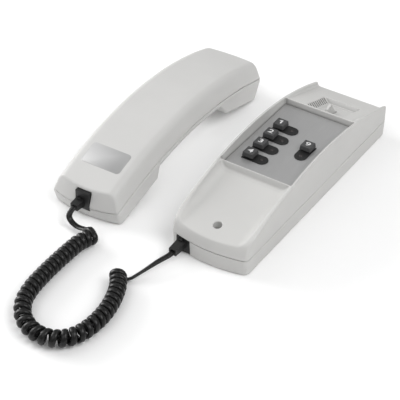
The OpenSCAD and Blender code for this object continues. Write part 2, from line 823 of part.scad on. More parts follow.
module handset_front_shell() {
  color([0.8, 0.8, 0.79]) in_handset() difference() {
    union() {
      difference() {
        intersection() {
          linear_extrude(height = 60) hs_plan(0);
          hs_side(0);
          hs_seam_body();
        }
        hs_grip_cut(0);
        difference() {
          intersection() {
            linear_extrude(height = 60) hs_plan(hs_wall);
            hs_side(hs_wall);
          }
          hs_grip_cut(hs_wall);
        }
      }
      intersection() {
        for (y = [hs_screw_y0, hs_screw_y1]) {
          translate([0, y, 0]) cylinder(d = 7.4, h = 60);
        }
        hs_side(0.5);
        hs_seam_body();
      }
    }
    for (y = [hs_screw_y0, hs_screw_y1]) {
      translate([0, y, -1]) cylinder(d = 3.2, h = 60);
      translate([0, y, -1]) cylinder(d = 6, h = hs_screw_seat(y) + 1);
    }
    translate([-hs_jack_w / 2 - fit, hs_y0 - 2, hs_jack_z0]) cube([hs_jack_w + 2 * fit, hs_jack_d + 4.3, 40]);
    // sound holes under the ear and the mouth
    for (a = [0:60:300]) {
      translate([6 * cos(a), cap_y + 6 * sin(a), -1]) cylinder(d = 2.4, h = 16);
    }
    translate([0, cap_y, -1]) cylinder(d = 2.4, h = 16);
    for (x = [-6, 0, 6]) {
      translate([x, mic_y, -1]) cylinder(d = 2.4, h = 12);
    }
  }
}

function hs_seam_at(y) =
  hs_seam_h - hs_seam_r + sqrt(hs_seam_r * hs_seam_r - (y - hs_arch_y) * (y - hs_arch_y));
function hs_screw_seat(y) = hs_seam_at(y) - 5;

module handset_plate() {
  a = -asin((plate_y - hs_arch_y) / hs_back_r);
  color([0.75, 0.75, 0.76]) in_handset() intersection() {
    difference() {
      translate([0, hs_arch_y, hs_c]) roller(hs_back_r + plate_t, plate_w);
      translate([0, hs_arch_y, hs_c]) roller(hs_back_r, plate_w + 2);
    }
    translate([0, hs_arch_y, hs_c]) rotate([a, 0, 0]) translate([0, 0, hs_back_r - 10])
      linear_extrude(height = 30) {
      square([plate_w - 6, plate_l], center = true);
      square([plate_w, plate_l - 6], center = true);
      for (s = [-1, 1]) {
        for (t = [-1, 1]) {
          translate([s * (plate_w / 2 - 3), t * (plate_l / 2 - 3)]) circle(r = 3);
        }
      }
    }
  }
}

// slope of the cup faces, for what lies on them inside
mouth_a = atan2(mouth_z, mouth_y - mouth_flat);
ear_cup_a = -atan2(ear_cup_z, ear_flat - ear_cup_y);

module receiver_capsule() {
  color([0.2, 0.2, 0.22]) in_handset()
    translate([0, cap_y, ear_cup_z * (ear_flat - cap_y) / (ear_flat - ear_cup_y)]) rotate([ear_cup_a, 0, 0])
      translate([0, 0, hs_wall + 0.3]) difference() {
        cylinder(d = 34, h = 8);
        translate([0, 0, 6.5]) cylinder(d = 24, h = 5);
      }
}

module microphone_capsule() {
  color([0.7, 0.7, 0.72]) in_handset()
    translate([0, mic_y, mouth_z * (mic_y - mouth_flat) / (mouth_y - mouth_flat)]) rotate([mouth_a, 0, 0])
      translate([0, 0, hs_wall + 1.9]) cylinder(d = 9.7, h = 6);
}

module microphone_holder() {
  color([0.1, 0.1, 0.1]) in_handset()
    translate([0, mic_y, mouth_z * (mic_y - mouth_flat) / (mouth_y - mouth_flat)]) rotate([mouth_a, 0, 0])
      translate([0, 0, hs_wall + 0.3]) difference() {
        cylinder(d = 18, h = 6);
        translate([0, 0, 1.6]) cylinder(d = 9.8, h = 10);
        translate([0, 0, -1]) cylinder(d = 6, h = 10);
      }
}

module handset_jack() {
  color([0.08, 0.08, 0.08]) in_handset() translate([0, hs_y0 + 1.4, hs_jack_z0])
    jack(hs_jack_w, hs_jack_z1 - hs_jack_z0, hs_jack_d, hs_plug_x, hs_plug_z - hs_jack_z0);
}

module handset_plug() {
  color([0.1, 0.1, 0.1]) in_handset() translate([hs_plug_x, hs_y0 + 1.4, hs_plug_z]) plug(hs_plug_out);
}

module handset_screws() {
  color([0.55, 0.55, 0.56]) in_handset() for (y = [hs_screw_y0, hs_screw_y1]) {
    translate([0, y, hs_screw_seat(y) - 2]) cylinder(d = 5.2, h = 2);
    translate([0, y, hs_screw_seat(y) - eps]) cylinder(d = 2.6, h = 10);
  }
}

// curly cord: one unbroken tube from plug to plug
hs_dir = [-sin(hs_turn), cos(hs_turn), 0];
hs_side_dir = [cos(hs_turn), sin(hs_turn), 0];
hs_plug_end = [hs_x, hs_y, hs_plug_z] + hs_plug_x * hs_side_dir + (hs_y0 + 1.4 - hs_plug_out) * hs_dir;
base_plug_end = [base_plug_x, jack_y - plug_out, base_plug_z];

function mix(a, b, t) = a + (b - a) * t;
function spline(p0, p1, p2, p3, t) =
  0.5 * (2 * p1 + (p2 - p0) * t + (2 * p0 - 5 * p1 + 4 * p2 - p3) * t * t
  + (3 * p1 - p0 - 3 * p2 + p3) * t * t * t);
function at(pts, u) =
  let(n = len(pts), i = max(0, min(n - 2, floor(u))), t = u - i)
  spline(pts[max(0, i - 1)], pts[i], pts[i + 1], pts[min(n - 1, i + 2)], t);
function route3(u) = let(p = at(route, u)) [p[0], p[1], coil_z];

// distance along the route, for placing the curls
route_n = 240;
route_u = [for (i = [0:route_n]) i * (len(route) - 1) / route_n];
route_p = [for (u = route_u) at(route, u)];
route_d = [
  for (i = 0, s = 0; i <= route_n; s = s + (i < route_n ? norm(route_p[i + 1] - route_p[i]) : 0), i = i + 1) s
];
coil_len = route_d[route_n];
// how the curls spread: share of the curls, share of the length; wider round the bend
spread = [
  [0, 0], [0.34, 0.3], [0.45, 0.42], [0.52, 0.51], [0.6, 0.608], [0.74, 0.757], [1, 1]
];
function route_at_len(s) = lookup(s, [for (i = [0:route_n]) [route_d[i], route_u[i]]]);
rings = 8;
function coil_pt(k) =
  let(
    n = curls * rings, f = k / n, a = 360 * k / rings + 60,
    u = route_at_len(lookup(f, spread) * coil_len),
    c = route3(u), q = route3(min(len(route) - 1, u + 0.02)) - route3(max(0, u - 0.02)),
    t = q / norm(q), s = [-t[1], t[0], 0]
  )
  c + coil_r * (sin(a) * s + [0, 0, cos(a)]);
turns_pts = [for (k = [0:curls * rings - 5]) coil_pt(k)];

hs_lead = concat(
  [hs_plug_end + 4 * hs_dir, hs_plug_end, hs_plug_end - cord_d * hs_dir], hs_tail, [turns_pts[0]]
);
base_lead = concat(
  [turns_pts[len(turns_pts) - 1]], base_tail,
  [base_plug_end - [0, cord_d, 0], base_plug_end, base_plug_end + [0, 4, 0]]
);
lead_a = concat(
  [hs_lead[0], hs_lead[1]],
  [for (i = [2:len(hs_lead) - 2]) for (j = [0:3]) at(hs_lead, i + j / 4)]
);
lead_b = concat(
  [for (i = [0:len(base_lead) - 4]) for (j = [(i == 0 ? 1 : 0):3]) at(base_lead, i + j / 4)],
  [base_lead[len(base_lead) - 3], base_lead[len(base_lead) - 2], base_lead[len(base_lead) - 1]]
);
cord_path = concat(lead_a, turns_pts, lead_b);

// least gap of the cord to itself, ring centre to ring centre, past half a turn
cord_last = len(cord_path) - 1;
cord_gap = min([
  for (i = [0:cord_last]) for (j = [i + 6:1:cord_last]) norm(cord_path[i] - cord_path[j])
]) - cord_d;
cord_low = min([for (p = cord_path) p[2]]) - cord_d / 2;
echo(cord_gap = cord_gap, coil_len = coil_len, pitch = coil_len / curls, cord_low = cord_low);

function unit(v) = v / norm(v);
function tangent(p, i) =
  let(n = len(p), a = p[max(0, i - 1)], b = p[min(n - 1, i + 1)]) unit(b - a);
function carry(v, t) = let(w = v - (v * t) * t) unit(w);
cord_t = [
  for (i = [0:cord_last]) i < 2 ? -hs_dir : i > cord_last - 2 ? [0, 1, 0] : tangent(cord_path, i)
];
cord_n = [
  for (i = 0, v = [0, 0, 1]; i <= cord_last; i = i + 1, v = i <= cord_last ? carry(v, cord_t[i]) : v) v
];
sides = 6;
cord_pts = [
  for (i = [0:len(cord_path) - 1]) for (j = [0:sides - 1])
    let(n = cord_n[i], b = cross(cord_t[i], n), a = 360 * j / sides)
    cord_path[i] + cord_d / 2 * (cos(a) * n + sin(a) * b)
];
cord_faces = concat(
  [for (j = [1:sides - 2]) [0, j + 1, j]],
  [for (i = [0:len(cord_path) - 2]) for (j = [0:sides - 1])
    let(a = i * sides + j, b = i * sides + (j + 1) % sides) [a, b, b + sides]],
  [for (i = [0:len(cord_path) - 2]) for (j = [0:sides - 1])
    let(a = i * sides + j, b = i * sides + (j + 1) % sides) [a, b + sides, a + sides]],
  [for (j = [1:sides - 2]) let(o = (len(cord_path) - 1) * sides) [o, o + j, o + j + 1]]
);

module curly_cord() {
  color([0.07, 0.07, 0.07]) polyhedron(points = cord_pts, faces = cord_faces, convexity = 12);
}

base_top_shell();
base_bottom_cover();
key_panel();
key_surrounds();
key_cap_1();
key_cap_2();
key_cap_3();
key_cap_4();
key_cap_9();
indicator_lamps();
circuit_board();
key_switches();
board_screws();
hook_lever();
hook_pin();
hook_switch();
sounder();
terminal_block();
base_jack();
case_screws();
base_plug();
handset_back_shell();
handset_front_shell();
handset_plate();
receiver_capsule();
microphone_capsule();
microphone_holder();
handset_jack();
handset_plug();
handset_screws();
curly_cord();
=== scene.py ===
import math

import bmesh
import bpy
import numpy as np
from mathutils import Matrix, Vector


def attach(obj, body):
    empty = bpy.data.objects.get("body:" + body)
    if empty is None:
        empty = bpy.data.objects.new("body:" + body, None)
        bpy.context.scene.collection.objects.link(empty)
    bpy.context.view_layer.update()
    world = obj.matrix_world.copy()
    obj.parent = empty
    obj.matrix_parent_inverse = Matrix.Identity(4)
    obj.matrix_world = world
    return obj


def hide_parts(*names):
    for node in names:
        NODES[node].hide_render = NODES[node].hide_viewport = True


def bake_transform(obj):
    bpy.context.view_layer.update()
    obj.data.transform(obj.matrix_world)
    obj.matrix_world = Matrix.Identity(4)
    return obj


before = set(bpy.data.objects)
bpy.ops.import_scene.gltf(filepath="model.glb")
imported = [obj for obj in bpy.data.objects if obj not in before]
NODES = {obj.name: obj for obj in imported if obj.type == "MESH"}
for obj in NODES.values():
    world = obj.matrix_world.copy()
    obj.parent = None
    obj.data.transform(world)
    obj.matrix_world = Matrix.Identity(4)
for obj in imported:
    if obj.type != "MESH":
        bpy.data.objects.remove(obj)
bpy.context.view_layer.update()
SCENE = bpy.context.scene
MM = 0.001


# Camera, floor and light, in metres

LENS, SENSOR = 129.89, 36.0
CLIP_NEAR, CLIP_FAR = 0.02, 30.0
CAMERA_RIGHT = (0.83396, 0.55183, 0.0)
CAMERA_UP = (-0.34339, 0.51895, 0.7828)
CAMERA_BACK = (0.43197, -0.65282, 0.62227)
CAMERA_PLACE = (0.4453, -0.7903, 0.7073)
WORLD_STRENGTH = 0.32
LIT_POINT = (-0.05, -0.05, 0.02)
# name, place, size, watts
LIGHTS = [
    ("left", (-1.6, -0.1, 0.5), (1.0, 0.9), 19.5),
    ("top_right", (0.95, -0.05, 1.3), (1.0, 1.0), 14.0),
    ("top_left", (-1.0, -0.05, 1.3), (1.0, 1.0), 4.0),
    ("top_front", (-0.05, -1.05, 1.3), (1.0, 1.0), 4.5),
    ("top_rear", (-0.05, 0.95, 1.3), (1.0, 1.0), 1.5),
]
GROUND_HALF, GROUND_DROP, GROUND_TONE = 6.0, 0.0002, 0.96


def add_camera():
    """The camera fitted to the photo."""
    data = bpy.data.cameras.new("camera")
    data.sensor_width = SENSOR
    data.lens = LENS
    data.clip_start = CLIP_NEAR
    data.clip_end = CLIP_FAR
    ob = bpy.data.objects.new("camera", data)
    place = Matrix((CAMERA_RIGHT, CAMERA_UP, CAMERA_BACK)).transposed().to_4x4()
    place.translation = CAMERA_PLACE
    ob.matrix_world = place
    SCENE.collection.objects.link(ob)
    SCENE.camera = ob


def add_light(name, where, size, watts):
    data = bpy.data.lights.new(name, "AREA")
    data.shape = "RECTANGLE"
    data.size, data.size_y = size
    data.energy = watts
    ob = bpy.data.objects.new(name, data)
    ob.location = where
    aim = Vector(LIT_POINT) - Vector(where)
    ob.rotation_euler = aim.to_track_quat("-Z", "Y").to_euler()
    SCENE.collection.objects.link(ob)


def add_floor():
    mesh = bpy.data.meshes.new("floor")
    r = GROUND_HALF
    mesh.from_pydata([(-r, -r, 0), (r, -r, 0), (r, r, 0), (-r, r, 0)], [], [(0, 1, 2, 3)])
    floor = bpy.data.objects.new("floor", mesh)
    floor.location.z = -GROUND_DROP
    SCENE.collection.objects.link(floor)
    mat, _, bsdf = new_material("floor_paper")
    bsdf.inputs["Base Color"].default_value = (GROUND_TONE, GROUND_TONE, GROUND_TONE, 1)
    bsdf.inputs["Roughness"].default_value = 0.9
    bsdf.inputs["Specular IOR Level"].default_value = 0.1
    mesh.materials.append(mat)


def add_studio():
    world = bpy.data.worlds.new("studio")
    world.use_nodes = True
    background = world.node_tree.nodes["Background"]
    background.inputs["Color"].default_value = (1.0, 1.0, 1.0, 1)
    background.inputs["Strength"].default_value = WORLD_STRENGTH
    SCENE.world = world
    SCENE.view_settings.view_transform = "Standard"
    for name, where, size, watts in LIGHTS:
        add_light(name, where, size, watts)
    add_floor()


# Materials

NOISE_LOW, NOISE_HIGH = 0.3, 0.7
GRAIN_DEPTH, STREAK_DEPTH = 0.00006, 0.00004
CLOUD_SCALE, STREAK_SCALE = 26.0, 60.0
BRUSHED_X, BRUSHED_Y, BRUSHED_Z = (1, 60, 60), (60, 1, 60), (30, 30, 1)


def new_material(name):
    mat = bpy.data.materials.new(name)
    mat.use_nodes = True
    tree = mat.node_tree
    return mat, tree, tree.nodes["Principled BSDF"]


def noise_on(tree, scale, detail=2.0, stretch=(1, 1, 1)):
    coord = tree.nodes.new("ShaderNodeTexCoord")
    mapping = tree.nodes.new("ShaderNodeMapping")
    mapping.inputs["Scale"].default_value = stretch
    noise = tree.nodes.new("ShaderNodeTexNoise")
    noise.inputs["Scale"].default_value = scale
    noise.inputs["Detail"].default_value = detail
    tree.links.new(coord.outputs["Object"], mapping.inputs["Vector"])
    tree.links.new(mapping.outputs["Vector"], noise.inputs["Vector"])
    return noise.outputs["Fac"]


def ramp_on(tree, value, low, high, stops=(NOISE_LOW, NOISE_HIGH)):
    ramp = tree.nodes.new("ShaderNodeValToRGB")
    ramp.color_ramp.elements[0].position = stops[0]
    ramp.color_ramp.elements[1].position = stops[1]
    ramp.color_ramp.elements[0].color = (*low, 1)
    ramp.color_ramp.elements[1].color = (*high, 1)
    tree.links.new(value, ramp.inputs["Fac"])
    return ramp.outputs["Color"]


def range_on(tree, value, low, high):
    node = tree.nodes.new("ShaderNodeMapRange")
    node.inputs["From Min"].default_value = NOISE_LOW
    node.inputs["From Max"].default_value = NOISE_HIGH
    node.inputs["To Min"].default_value = low
    node.inputs["To Max"].default_value = high
    tree.links.new(value, node.inputs["Value"])
    return node.outputs["Result"]


def bump_on(tree, bsdf, value, strength, distance):
    bump = tree.nodes.new("ShaderNodeBump")
    bump.inputs["Strength"].default_value = strength
    bump.inputs["Distance"].default_value = distance
    tree.links.new(value, bump.inputs["Height"])
    tree.links.new(bump.outputs["Normal"], bsdf.inputs["Normal"])


def shade(c, k):
    return tuple(min(1.0, v * k) for v in c)


def moulded(name, colour, rough, grain=1500.0, bump=0.25, spread=0.02, specular=0.4, painted_shade=0.0):
    """Moulded plastic: fine spark texture, faint cloudiness, an uneven sheen.

    Its last argument paints shade into the tone: the colour is darker where the mesh says that a corner closes in.
    """
    mat, tree, bsdf = new_material(name)
    cloud = noise_on(tree, CLOUD_SCALE, 3.0)
    tone = ramp_on(tree, cloud, shade(colour, 1 - spread), shade(colour, 1 + spread))
    # painted shade: the tone is mixed towards a darker copy of itself where the mesh is closed in
    if painted_shade:
        closed = tree.nodes.new("ShaderNodeAttribute")
        closed.attribute_name = "closed_in"
        mix = tree.nodes.new("ShaderNodeMix")
        mix.data_type = "RGBA"
        mix.inputs["B"].default_value = (*shade(colour, 1 - painted_shade), 1)
        tree.links.new(closed.outputs["Fac"], mix.inputs["Factor"])
        tree.links.new(tone, mix.inputs["A"])
        tone = mix.outputs["Result"]
    tree.links.new(tone, bsdf.inputs["Base Color"])
    fine = noise_on(tree, grain, 3.0)
    tree.links.new(range_on(tree, fine, rough - 0.06, rough + 0.06), bsdf.inputs["Roughness"])
    bump_on(tree, bsdf, fine, bump, GRAIN_DEPTH)
    bsdf.inputs["Specular IOR Level"].default_value = specular
    return mat


def satin_metal(name, colour, rough, along, metallic, grain=STREAK_SCALE, spread=0.06):
    """Rolled sheet metal: streaks along one axis in colour and roughness."""
    mat, tree, bsdf = new_material(name)
    streak = noise_on(tree, grain, 4.0, along)
    tone = ramp_on(tree, streak, shade(colour, 1 - spread), shade(colour, 1 + spread))
    tree.links.new(tone, bsdf.inputs["Base Color"])
    tree.links.new(range_on(tree, streak, rough - 0.07, rough + 0.07), bsdf.inputs["Roughness"])
    bump_on(tree, bsdf, streak, 0.12, STREAK_DEPTH)
    bsdf.inputs["Metallic"].default_value = metallic
    return mat


def painted_reflection_metal(name, left, right, x0, x1):
    """Brushed sheet metal with a painted reflection: its tone falls from light at the left to darker at the right
    between two places across the part.
    """
    mat, tree, bsdf = new_material(name)
    coord = tree.nodes.new("ShaderNodeTexCoord")
    axes = tree.nodes.new("ShaderNodeSeparateXYZ")
    tree.links.new(coord.outputs["Object"], axes.inputs["Vector"])
    across = tree.nodes.new("ShaderNodeMapRange")
    across.inputs["From Min"].default_value = x0
    across.inputs["From Max"].default_value = x1
    tree.links.new(axes.outputs["X"], across.inputs["Value"])
    streak = noise_on(tree, STREAK_SCALE, 4.0, BRUSHED_X)
    mix = tree.nodes.new("ShaderNodeMath")
    mix.operation = "MULTIPLY_ADD"
    mix.inputs[1].default_value = 0.12
    tree.links.new(streak, mix.inputs[0])
    tree.links.new(across.outputs["Result"], mix.inputs[2])
    # painted reflection: the tone runs from the left colour to the right colour across the part
    tone = ramp_on(tree, mix.outputs["Value"], left, right, (0.06, 1.0))
    tree.links.new(tone, bsdf.inputs["Base Color"])
    tree.links.new(range_on(tree, streak, 0.46, 0.56), bsdf.inputs["Roughness"])
    bump_on(tree, bsdf, streak, 0.1, STREAK_DEPTH)
    bsdf.inputs["Metallic"].default_value = 0.3
    return mat


def make_materials():
    return {
        # shell, cover and handset carry painted shade in their corners and recesses
        "shell": moulded("shell_off_white", (0.556, 0.553, 0.541), 0.5, painted_shade=0.4),
        "cover": moulded("cover_off_white", (0.557, 0.553, 0.541), 0.52, painted_shade=0.4),
        "handset": moulded("handset_off_white", (0.573, 0.57, 0.56), 0.48, painted_shade=0.4),
        "panel": satin_metal("panel_grey", (0.50, 0.50, 0.50), 0.42, BRUSHED_Y, 0.7),
        # plate: painted reflection, light at the left falling to darker at the right
        "plate": painted_reflection_metal("plate_silver", (0.56, 0.56, 0.56), (0.37, 0.37, 0.37), -0.134, -0.098),
        "capsule": satin_metal("capsule_silver", (0.42, 0.42, 0.42), 0.36, BRUSHED_X, 0.85),
        "black": moulded("black_moulding", (0.014, 0.014, 0.014), 0.42, 1400.0, 0.2, 0.15),
        "soft_black": moulded("soft_black", (0.02, 0.02, 0.02), 0.7, 900.0, 0.3, 0.15, 0.3),
        "key": moulded("key_grey", (0.062, 0.062, 0.063), 0.5, 1800.0, 0.3, 0.08),
        "numeral": moulded("numeral_white", (0.66, 0.66, 0.66), 0.55, 2000.0, 0.1, 0.02),
        "lamp": moulded("lamp_lens", (0.035, 0.03, 0.03), 0.25, 900.0, 0.05, 0.1, 0.5),
        "board": moulded("board_green", (0.03, 0.13, 0.06), 0.4, 700.0, 0.1, 0.2),
        "terminal": moulded("terminal_green", (0.05, 0.14, 0.08), 0.45, 900.0, 0.1, 0.1),
        "steel": satin_metal("screw_zinc", (0.58, 0.58, 0.57), 0.35, BRUSHED_Z, 1.0, 90.0, 0.1),
        "cord": moulded("cord_black", (0.008, 0.008, 0.008), 0.3, 700.0, 0.15, 0.2, 0.28),
    }


# Mesh helpers

MOST_TRIANGLES = 188000
EDGE_ANGLE, SHARP_ANGLE = math.radians(35.0), math.radians(50)
FLAT_ANGLE = math.radians(1.5)


def set_smooth(mesh):
    mesh.polygons.foreach_set("use_smooth", np.ones(len(mesh.polygons), bool))


def ring_quads(count, m):
    """Faces between neighbouring rings of m points."""
    return [(a + j, a + (j + 1) % m, a + m + (j + 1) % m, a + m + j)
            for a in range(0, (count - 1) * m, m) for j in range(m)]


def add_mesh(name, verts, faces, mat):
    mesh = bpy.data.meshes.new(name)
    mesh.from_pydata([tuple(v) for v in verts], [], faces)
    mesh.validate()
    mesh.update()
    ob = bpy.data.objects.new(name, mesh)
    SCENE.collection.objects.link(ob)
    mesh.materials.append(mat)
    set_smooth(mesh)
    return ob


def quad_mesh(name, verts, quads, mat):
    mesh = bpy.data.meshes.new(name)
    mesh.vertices.add(len(verts))
    mesh.vertices.foreach_set("co", np.ascontiguousarray(verts, np.float32).ravel())
    mesh.loops.add(4 * len(quads))
    mesh.loops.foreach_set("vertex_index", np.ascontiguousarray(quads, np.int32).ravel())
    mesh.polygons.add(len(quads))
    mesh.polygons.foreach_set("loop_start", np.arange(0, 4 * len(quads), 4, dtype=np.int32))
    mesh.update(calc_edges=True)
    set_smooth(mesh)
    mesh.materials.append(mat)
    ob = bpy.data.objects.new(name, mesh)
    SCENE.collection.objects.link(ob)
    return ob


def apply_modifiers(ob):
    bpy.context.view_layer.update()
    done = bpy.data.meshes.new_from_object(ob.evaluated_get(bpy.context.evaluated_depsgraph_get()))
    done.name = ob.name
    ob.modifiers.clear()
    ob.data = done
    return ob


def thin(ob):
    """Fewer faces where the surface is plain."""
    tris = sum(len(p.vertices) - 2 for p in ob.data.polygons)
    if tris > MOST_TRIANGLES:
        mod = ob.modifiers.new("thin", "DECIMATE")
        mod.ratio = MOST_TRIANGLES / tris
        apply_modifiers(ob)
    set_smooth(ob.data)
    return ob


def softened(node, mat, width):
    """A copy of a CAD node with its edges broken over a width in millimetres."""
    src = NODES[node]
    bm = bmesh.new()
    bm.from_mesh(src.data)
    bmesh.ops.remove_doubles(bm, verts=bm.verts, dist=1e-6)
    bmesh.ops.dissolve_limit(bm, angle_limit=FLAT_ANGLE, verts=bm.verts, edges=bm.edges)
    mesh = bpy.data.meshes.new(node + "_soft")
    bm.to_mesh(mesh)
    bm.free()
    ob = bpy.data.objects.new(node + "_soft", mesh)
    SCENE.collection.objects.link(ob)
    mesh.materials.clear()
    mesh.materials.append(mat)
    mod = ob.modifiers.new("edge", "BEVEL")
    mod.width = width * MM
    mod.segments = 2
    mod.limit_method = "ANGLE"
    mod.angle_limit = EDGE_ANGLE
    mod.use_clamp_overlap = True
    mod.harden_normals = False
    apply_modifiers(ob)
    set_smooth(ob.data)
    ob.data.set_sharp_from_angle(angle=SHARP_ANGLE)
    mod = ob.modifiers.new("flats", "WEIGHTED_NORMAL")
    mod.weight = 100
    mod.keep_sharp = True
    return apply_modifiers(ob)


# Distance fields, in millimetres: negative inside

def smax(a, b, r):
    """The greater of two distances, with the edge between them rounded over r."""
    h = np.maximum(r - np.abs(a - b), 0.0) / r
    return np.maximum(a, b) + h * h * (0.25 * r)


def cut(body, tool, r):
    """Body without tool, with the edge rounded over r."""
    return smax(body, -tool, r)


def corner(a, b, r):
    """Inside of a <= 0 and b <= 0 with a round corner of radius r."""
    ea, eb = a + r, b + r
    return np.hypot(np.maximum(ea, 0), np.maximum(eb, 0)) - r + np.minimum(np.maximum(ea, eb), 0)


def polygon_field(u, v, pts):
    """Distance to a closed outline in the plane of u and v."""
    best = np.full(np.broadcast(u, v).shape, 1e9, np.float32)
    sign = np.ones(best.shape, np.float32)
    n = len(pts)
    for i in range(n):
        ax, ay = pts[i]
        bx, by = pts[(i + 1) % n]
        ex, ey = bx - ax, by - ay
        wx, wy = u - ax, v - ay
        t = np.clip((wx * ex + wy * ey) / (ex * ex + ey * ey), 0.0, 1.0)
        best = np.minimum(best, (wx - ex * t) ** 2 + (wy - ey * t) ** 2)
        up, down, left = v >= ay, v < by, ex * wy > ey * wx
        sign = np.where((up & down & left) | (~up & ~down & ~left), -sign, sign)
    return sign * np.sqrt(best)


# the twelve edges of a grid cell
EDGES = [((0, 0, 0), (1, 0, 0)), ((0, 1, 0), (1, 1, 0)), ((0, 0, 1), (1, 0, 1)), ((0, 1, 1), (1, 1, 1)),
         ((0, 0, 0), (0, 1, 0)), ((1, 0, 0), (1, 1, 0)), ((0, 0, 1), (0, 1, 1)), ((1, 0, 1), (1, 1, 1)),
         ((0, 0, 0), (0, 0, 1)), ((1, 0, 0), (1, 0, 1)), ((0, 1, 0), (0, 1, 1)), ((1, 1, 0), (1, 1, 1))]


def stations(*runs):
    """Grid lines from start to start, each run with its own step: (start, step), ..., (end, 0)."""
    out = []
    for (a, step), (b, _) in zip(runs[:-1], runs[1:]):
        out.append(np.linspace(a, b, max(2, int(round((b - a) / step)) + 1))[:-1])
    return np.append(np.concatenate(out), runs[-1][0]).astype(np.float32)


PROBE = 0.04
SETTLE_ROUNDS = 3
REACH = 3.2


def gradient(field, x, y, z):
    h = PROBE
    return np.stack([field(x + h, y, z) - field(x - h, y, z),
                     field(x, y + h, z) - field(x, y - h, z),
                     field(x, y, z + h) - field(x, y, z - h)], 1) / (2 * h)


def closed_in(field, verts):
    """How far each place is closed in by its surroundings, 0 open to 1 in a corner."""
    x, y, z = verts.T
    g = gradient(field, x, y, z)
    size = np.maximum(np.linalg.norm(g, axis=1), 0.3)
    far = verts + REACH * g / size[:, None]
    return 1.0 - np.clip((field(*far.T) - field(x, y, z)) / (REACH * size), 0.0, 1.0)


def field_mesh(name, field, axes, mat):
    """The zero surface of a field as a mesh of quads, each point then moved onto the surface."""
    d = field(axes[0][:, None, None], axes[1][None, :, None], axes[2][None, None, :])
    d = np.ascontiguousarray(np.broadcast_to(d, [len(a) for a in axes]), np.float32)
    inside = d < 0
    total = np.zeros([len(a) - 1 for a in axes], np.int8)
    ni, nj, nk = total.shape
    for i in (0, 1):
        for j in (0, 1):
            for k in (0, 1):
                total += inside[i:ni + i, j:nj + j, k:nk + k]
    cells = np.argwhere((total > 0) & (total < 8))
    index = np.full(total.shape, -1, np.int32)
    index[tuple(cells.T)] = np.arange(len(cells), dtype=np.int32)
    place = np.zeros((len(cells), 3), np.float32)
    count = np.zeros(len(cells), np.float32)
    for a, b in EDGES:
        da = d[tuple((cells + a).T)]
        db = d[tuple((cells + b).T)]
        hit = (da < 0) != (db < 0)
        t = np.where(hit, da / np.where(hit, da - db, 1.0), 0.0)
        p = np.array(a, np.float32) + t[:, None] * (np.array(b, np.float32) - np.array(a, np.float32))
        place += np.where(hit[:, None], p, 0.0)
        count += hit
    place /= count[:, None]
    low = np.stack([axes[i][cells[:, i]] for i in range(3)], 1)
    step = np.stack([axes[i][cells[:, i] + 1] for i in range(3)], 1) - low
    verts = low + place * step
    quads = []
    for axis in range(3):
        one, two = (axis + 1) % 3, (axis + 2) % 3
        lo = [slice(None)] * 3
        hi = [slice(None)] * 3
        lo[axis], hi[axis] = slice(None, -1), slice(1, None)
        first = inside[tuple(lo)]
        change = np.argwhere(first != inside[tuple(hi)])
        ok = (change[:, one] > 0) & (change[:, two] > 0)
        ok &= (change[:, one] < len(axes[one]) - 1) & (change[:, two] < len(axes[two]) - 1)
        change = change[ok]
        e1, e2 = np.zeros(3, int), np.zeros(3, int)
        e1[one], e2[two] = 1, 1
        ring = np.stack([index[tuple((change - s).T)] for s in (e1 + e2, e2, 0 * e1, e1)], 1)
        flip = ~first[tuple(change.T)]
        ring[flip] = ring[flip][:, ::-1]
        quads.append(ring)
    quads = np.concatenate(quads)
    for _ in range(SETTLE_ROUNDS):
        x, y, z = verts.T
        v = field(x, y, z)
        g = gradient(field, x, y, z)
        size = np.maximum((g * g).sum(1), 0.2)
        move = (-v / size)[:, None] * g
        verts = verts + np.clip(move, -0.5 * step, 0.5 * step).astype(np.float32)
    ob = quad_mesh(name, verts * MM, quads, mat)
    # how closed in each place is; the plastics darken by it as painted shade
    layer = ob.data.attributes.new("closed_in", "FLOAT", "POINT")
    layer.data.foreach_set("value", np.ascontiguousarray(closed_in(field, verts), np.float32))
    return ob


# Sizes in millimetres, those of the CAD source apart from small changes that make edges, recess and pocket read

HALF_W, BACK_Y, FRONT_Y = 33.5, 110.5, -110.5
ARCH_Y, ARCH_Z, ARCH_R = 6.5, -242.6, 290.0
FRONT_R, FRONT_C = 117.0, 6.5
SEAM = 14.5
FLOOR_TOP, FLOOR_LOW = 36.2, 34.0
REC_Y0, REC_Y1, REC_X = -40.3, 57.0, 31.65
DISH_Y, DISH_Z, DISH_END_Y = -107.9, 23.8, -42.1
DISH_A = math.atan((FLOOR_TOP - DISH_Z) / (DISH_END_Y - DISH_Y))
EAR_Y, EAR_Z, EAR_END_Z = 56.8, 42.80, 24.81
EAR_A = math.atan((EAR_END_Z - EAR_Z) / (BACK_Y - EAR_Y))
TRAY_X, TRAY_R, EAR_R = 31.1, 8.0, 2.4
POCKET_S0, POCKET_L = 2.6, 32.39
POCKET = dict(x0=-13.5, x1=20.0, s0=POCKET_S0, s1=POCKET_S0 + POCKET_L, deep=4.2, foot=5.0, back=1.1)
SLOT_N, SLOT_W, SLOT_L, SLOT_IN, SLOT_R, SLOT_DEEP = 10, 1.6, 5.6, 2.3, 0.5, 4.0
NOSE_X, NOSE_T, NOSE_S0, NOSE_S1, NOSE_GAP, NOSE_SWING = 5.4, 2.2, 3.8, 19.97, 0.6, 2.6
KEY_X, KEY_Y, KEY_PITCH = -17.5, 25.5, 15.24
# numeral, place of the cap, turn in degrees
KEYS = [("1", KEY_X, KEY_Y, 0), ("2", KEY_X, KEY_Y - KEY_PITCH, 0), ("3", KEY_X, KEY_Y - 2 * KEY_PITCH, 0),
        ("4", KEY_X, KEY_Y - 3 * KEY_PITCH, 0), ("9", 15.4, 11.4, -90)]
LAMP_STEP, SURROUND_HALF = 10.4, 5.25
CAP_LOW, CAP_HIGH, CAP_FOOT, CAP_TOP = 39.1, 42.7, 4.8, 4.46
HS_X, HS_Y, HS_TURN = -112.0, -6.5, math.radians(1.0)

# Base

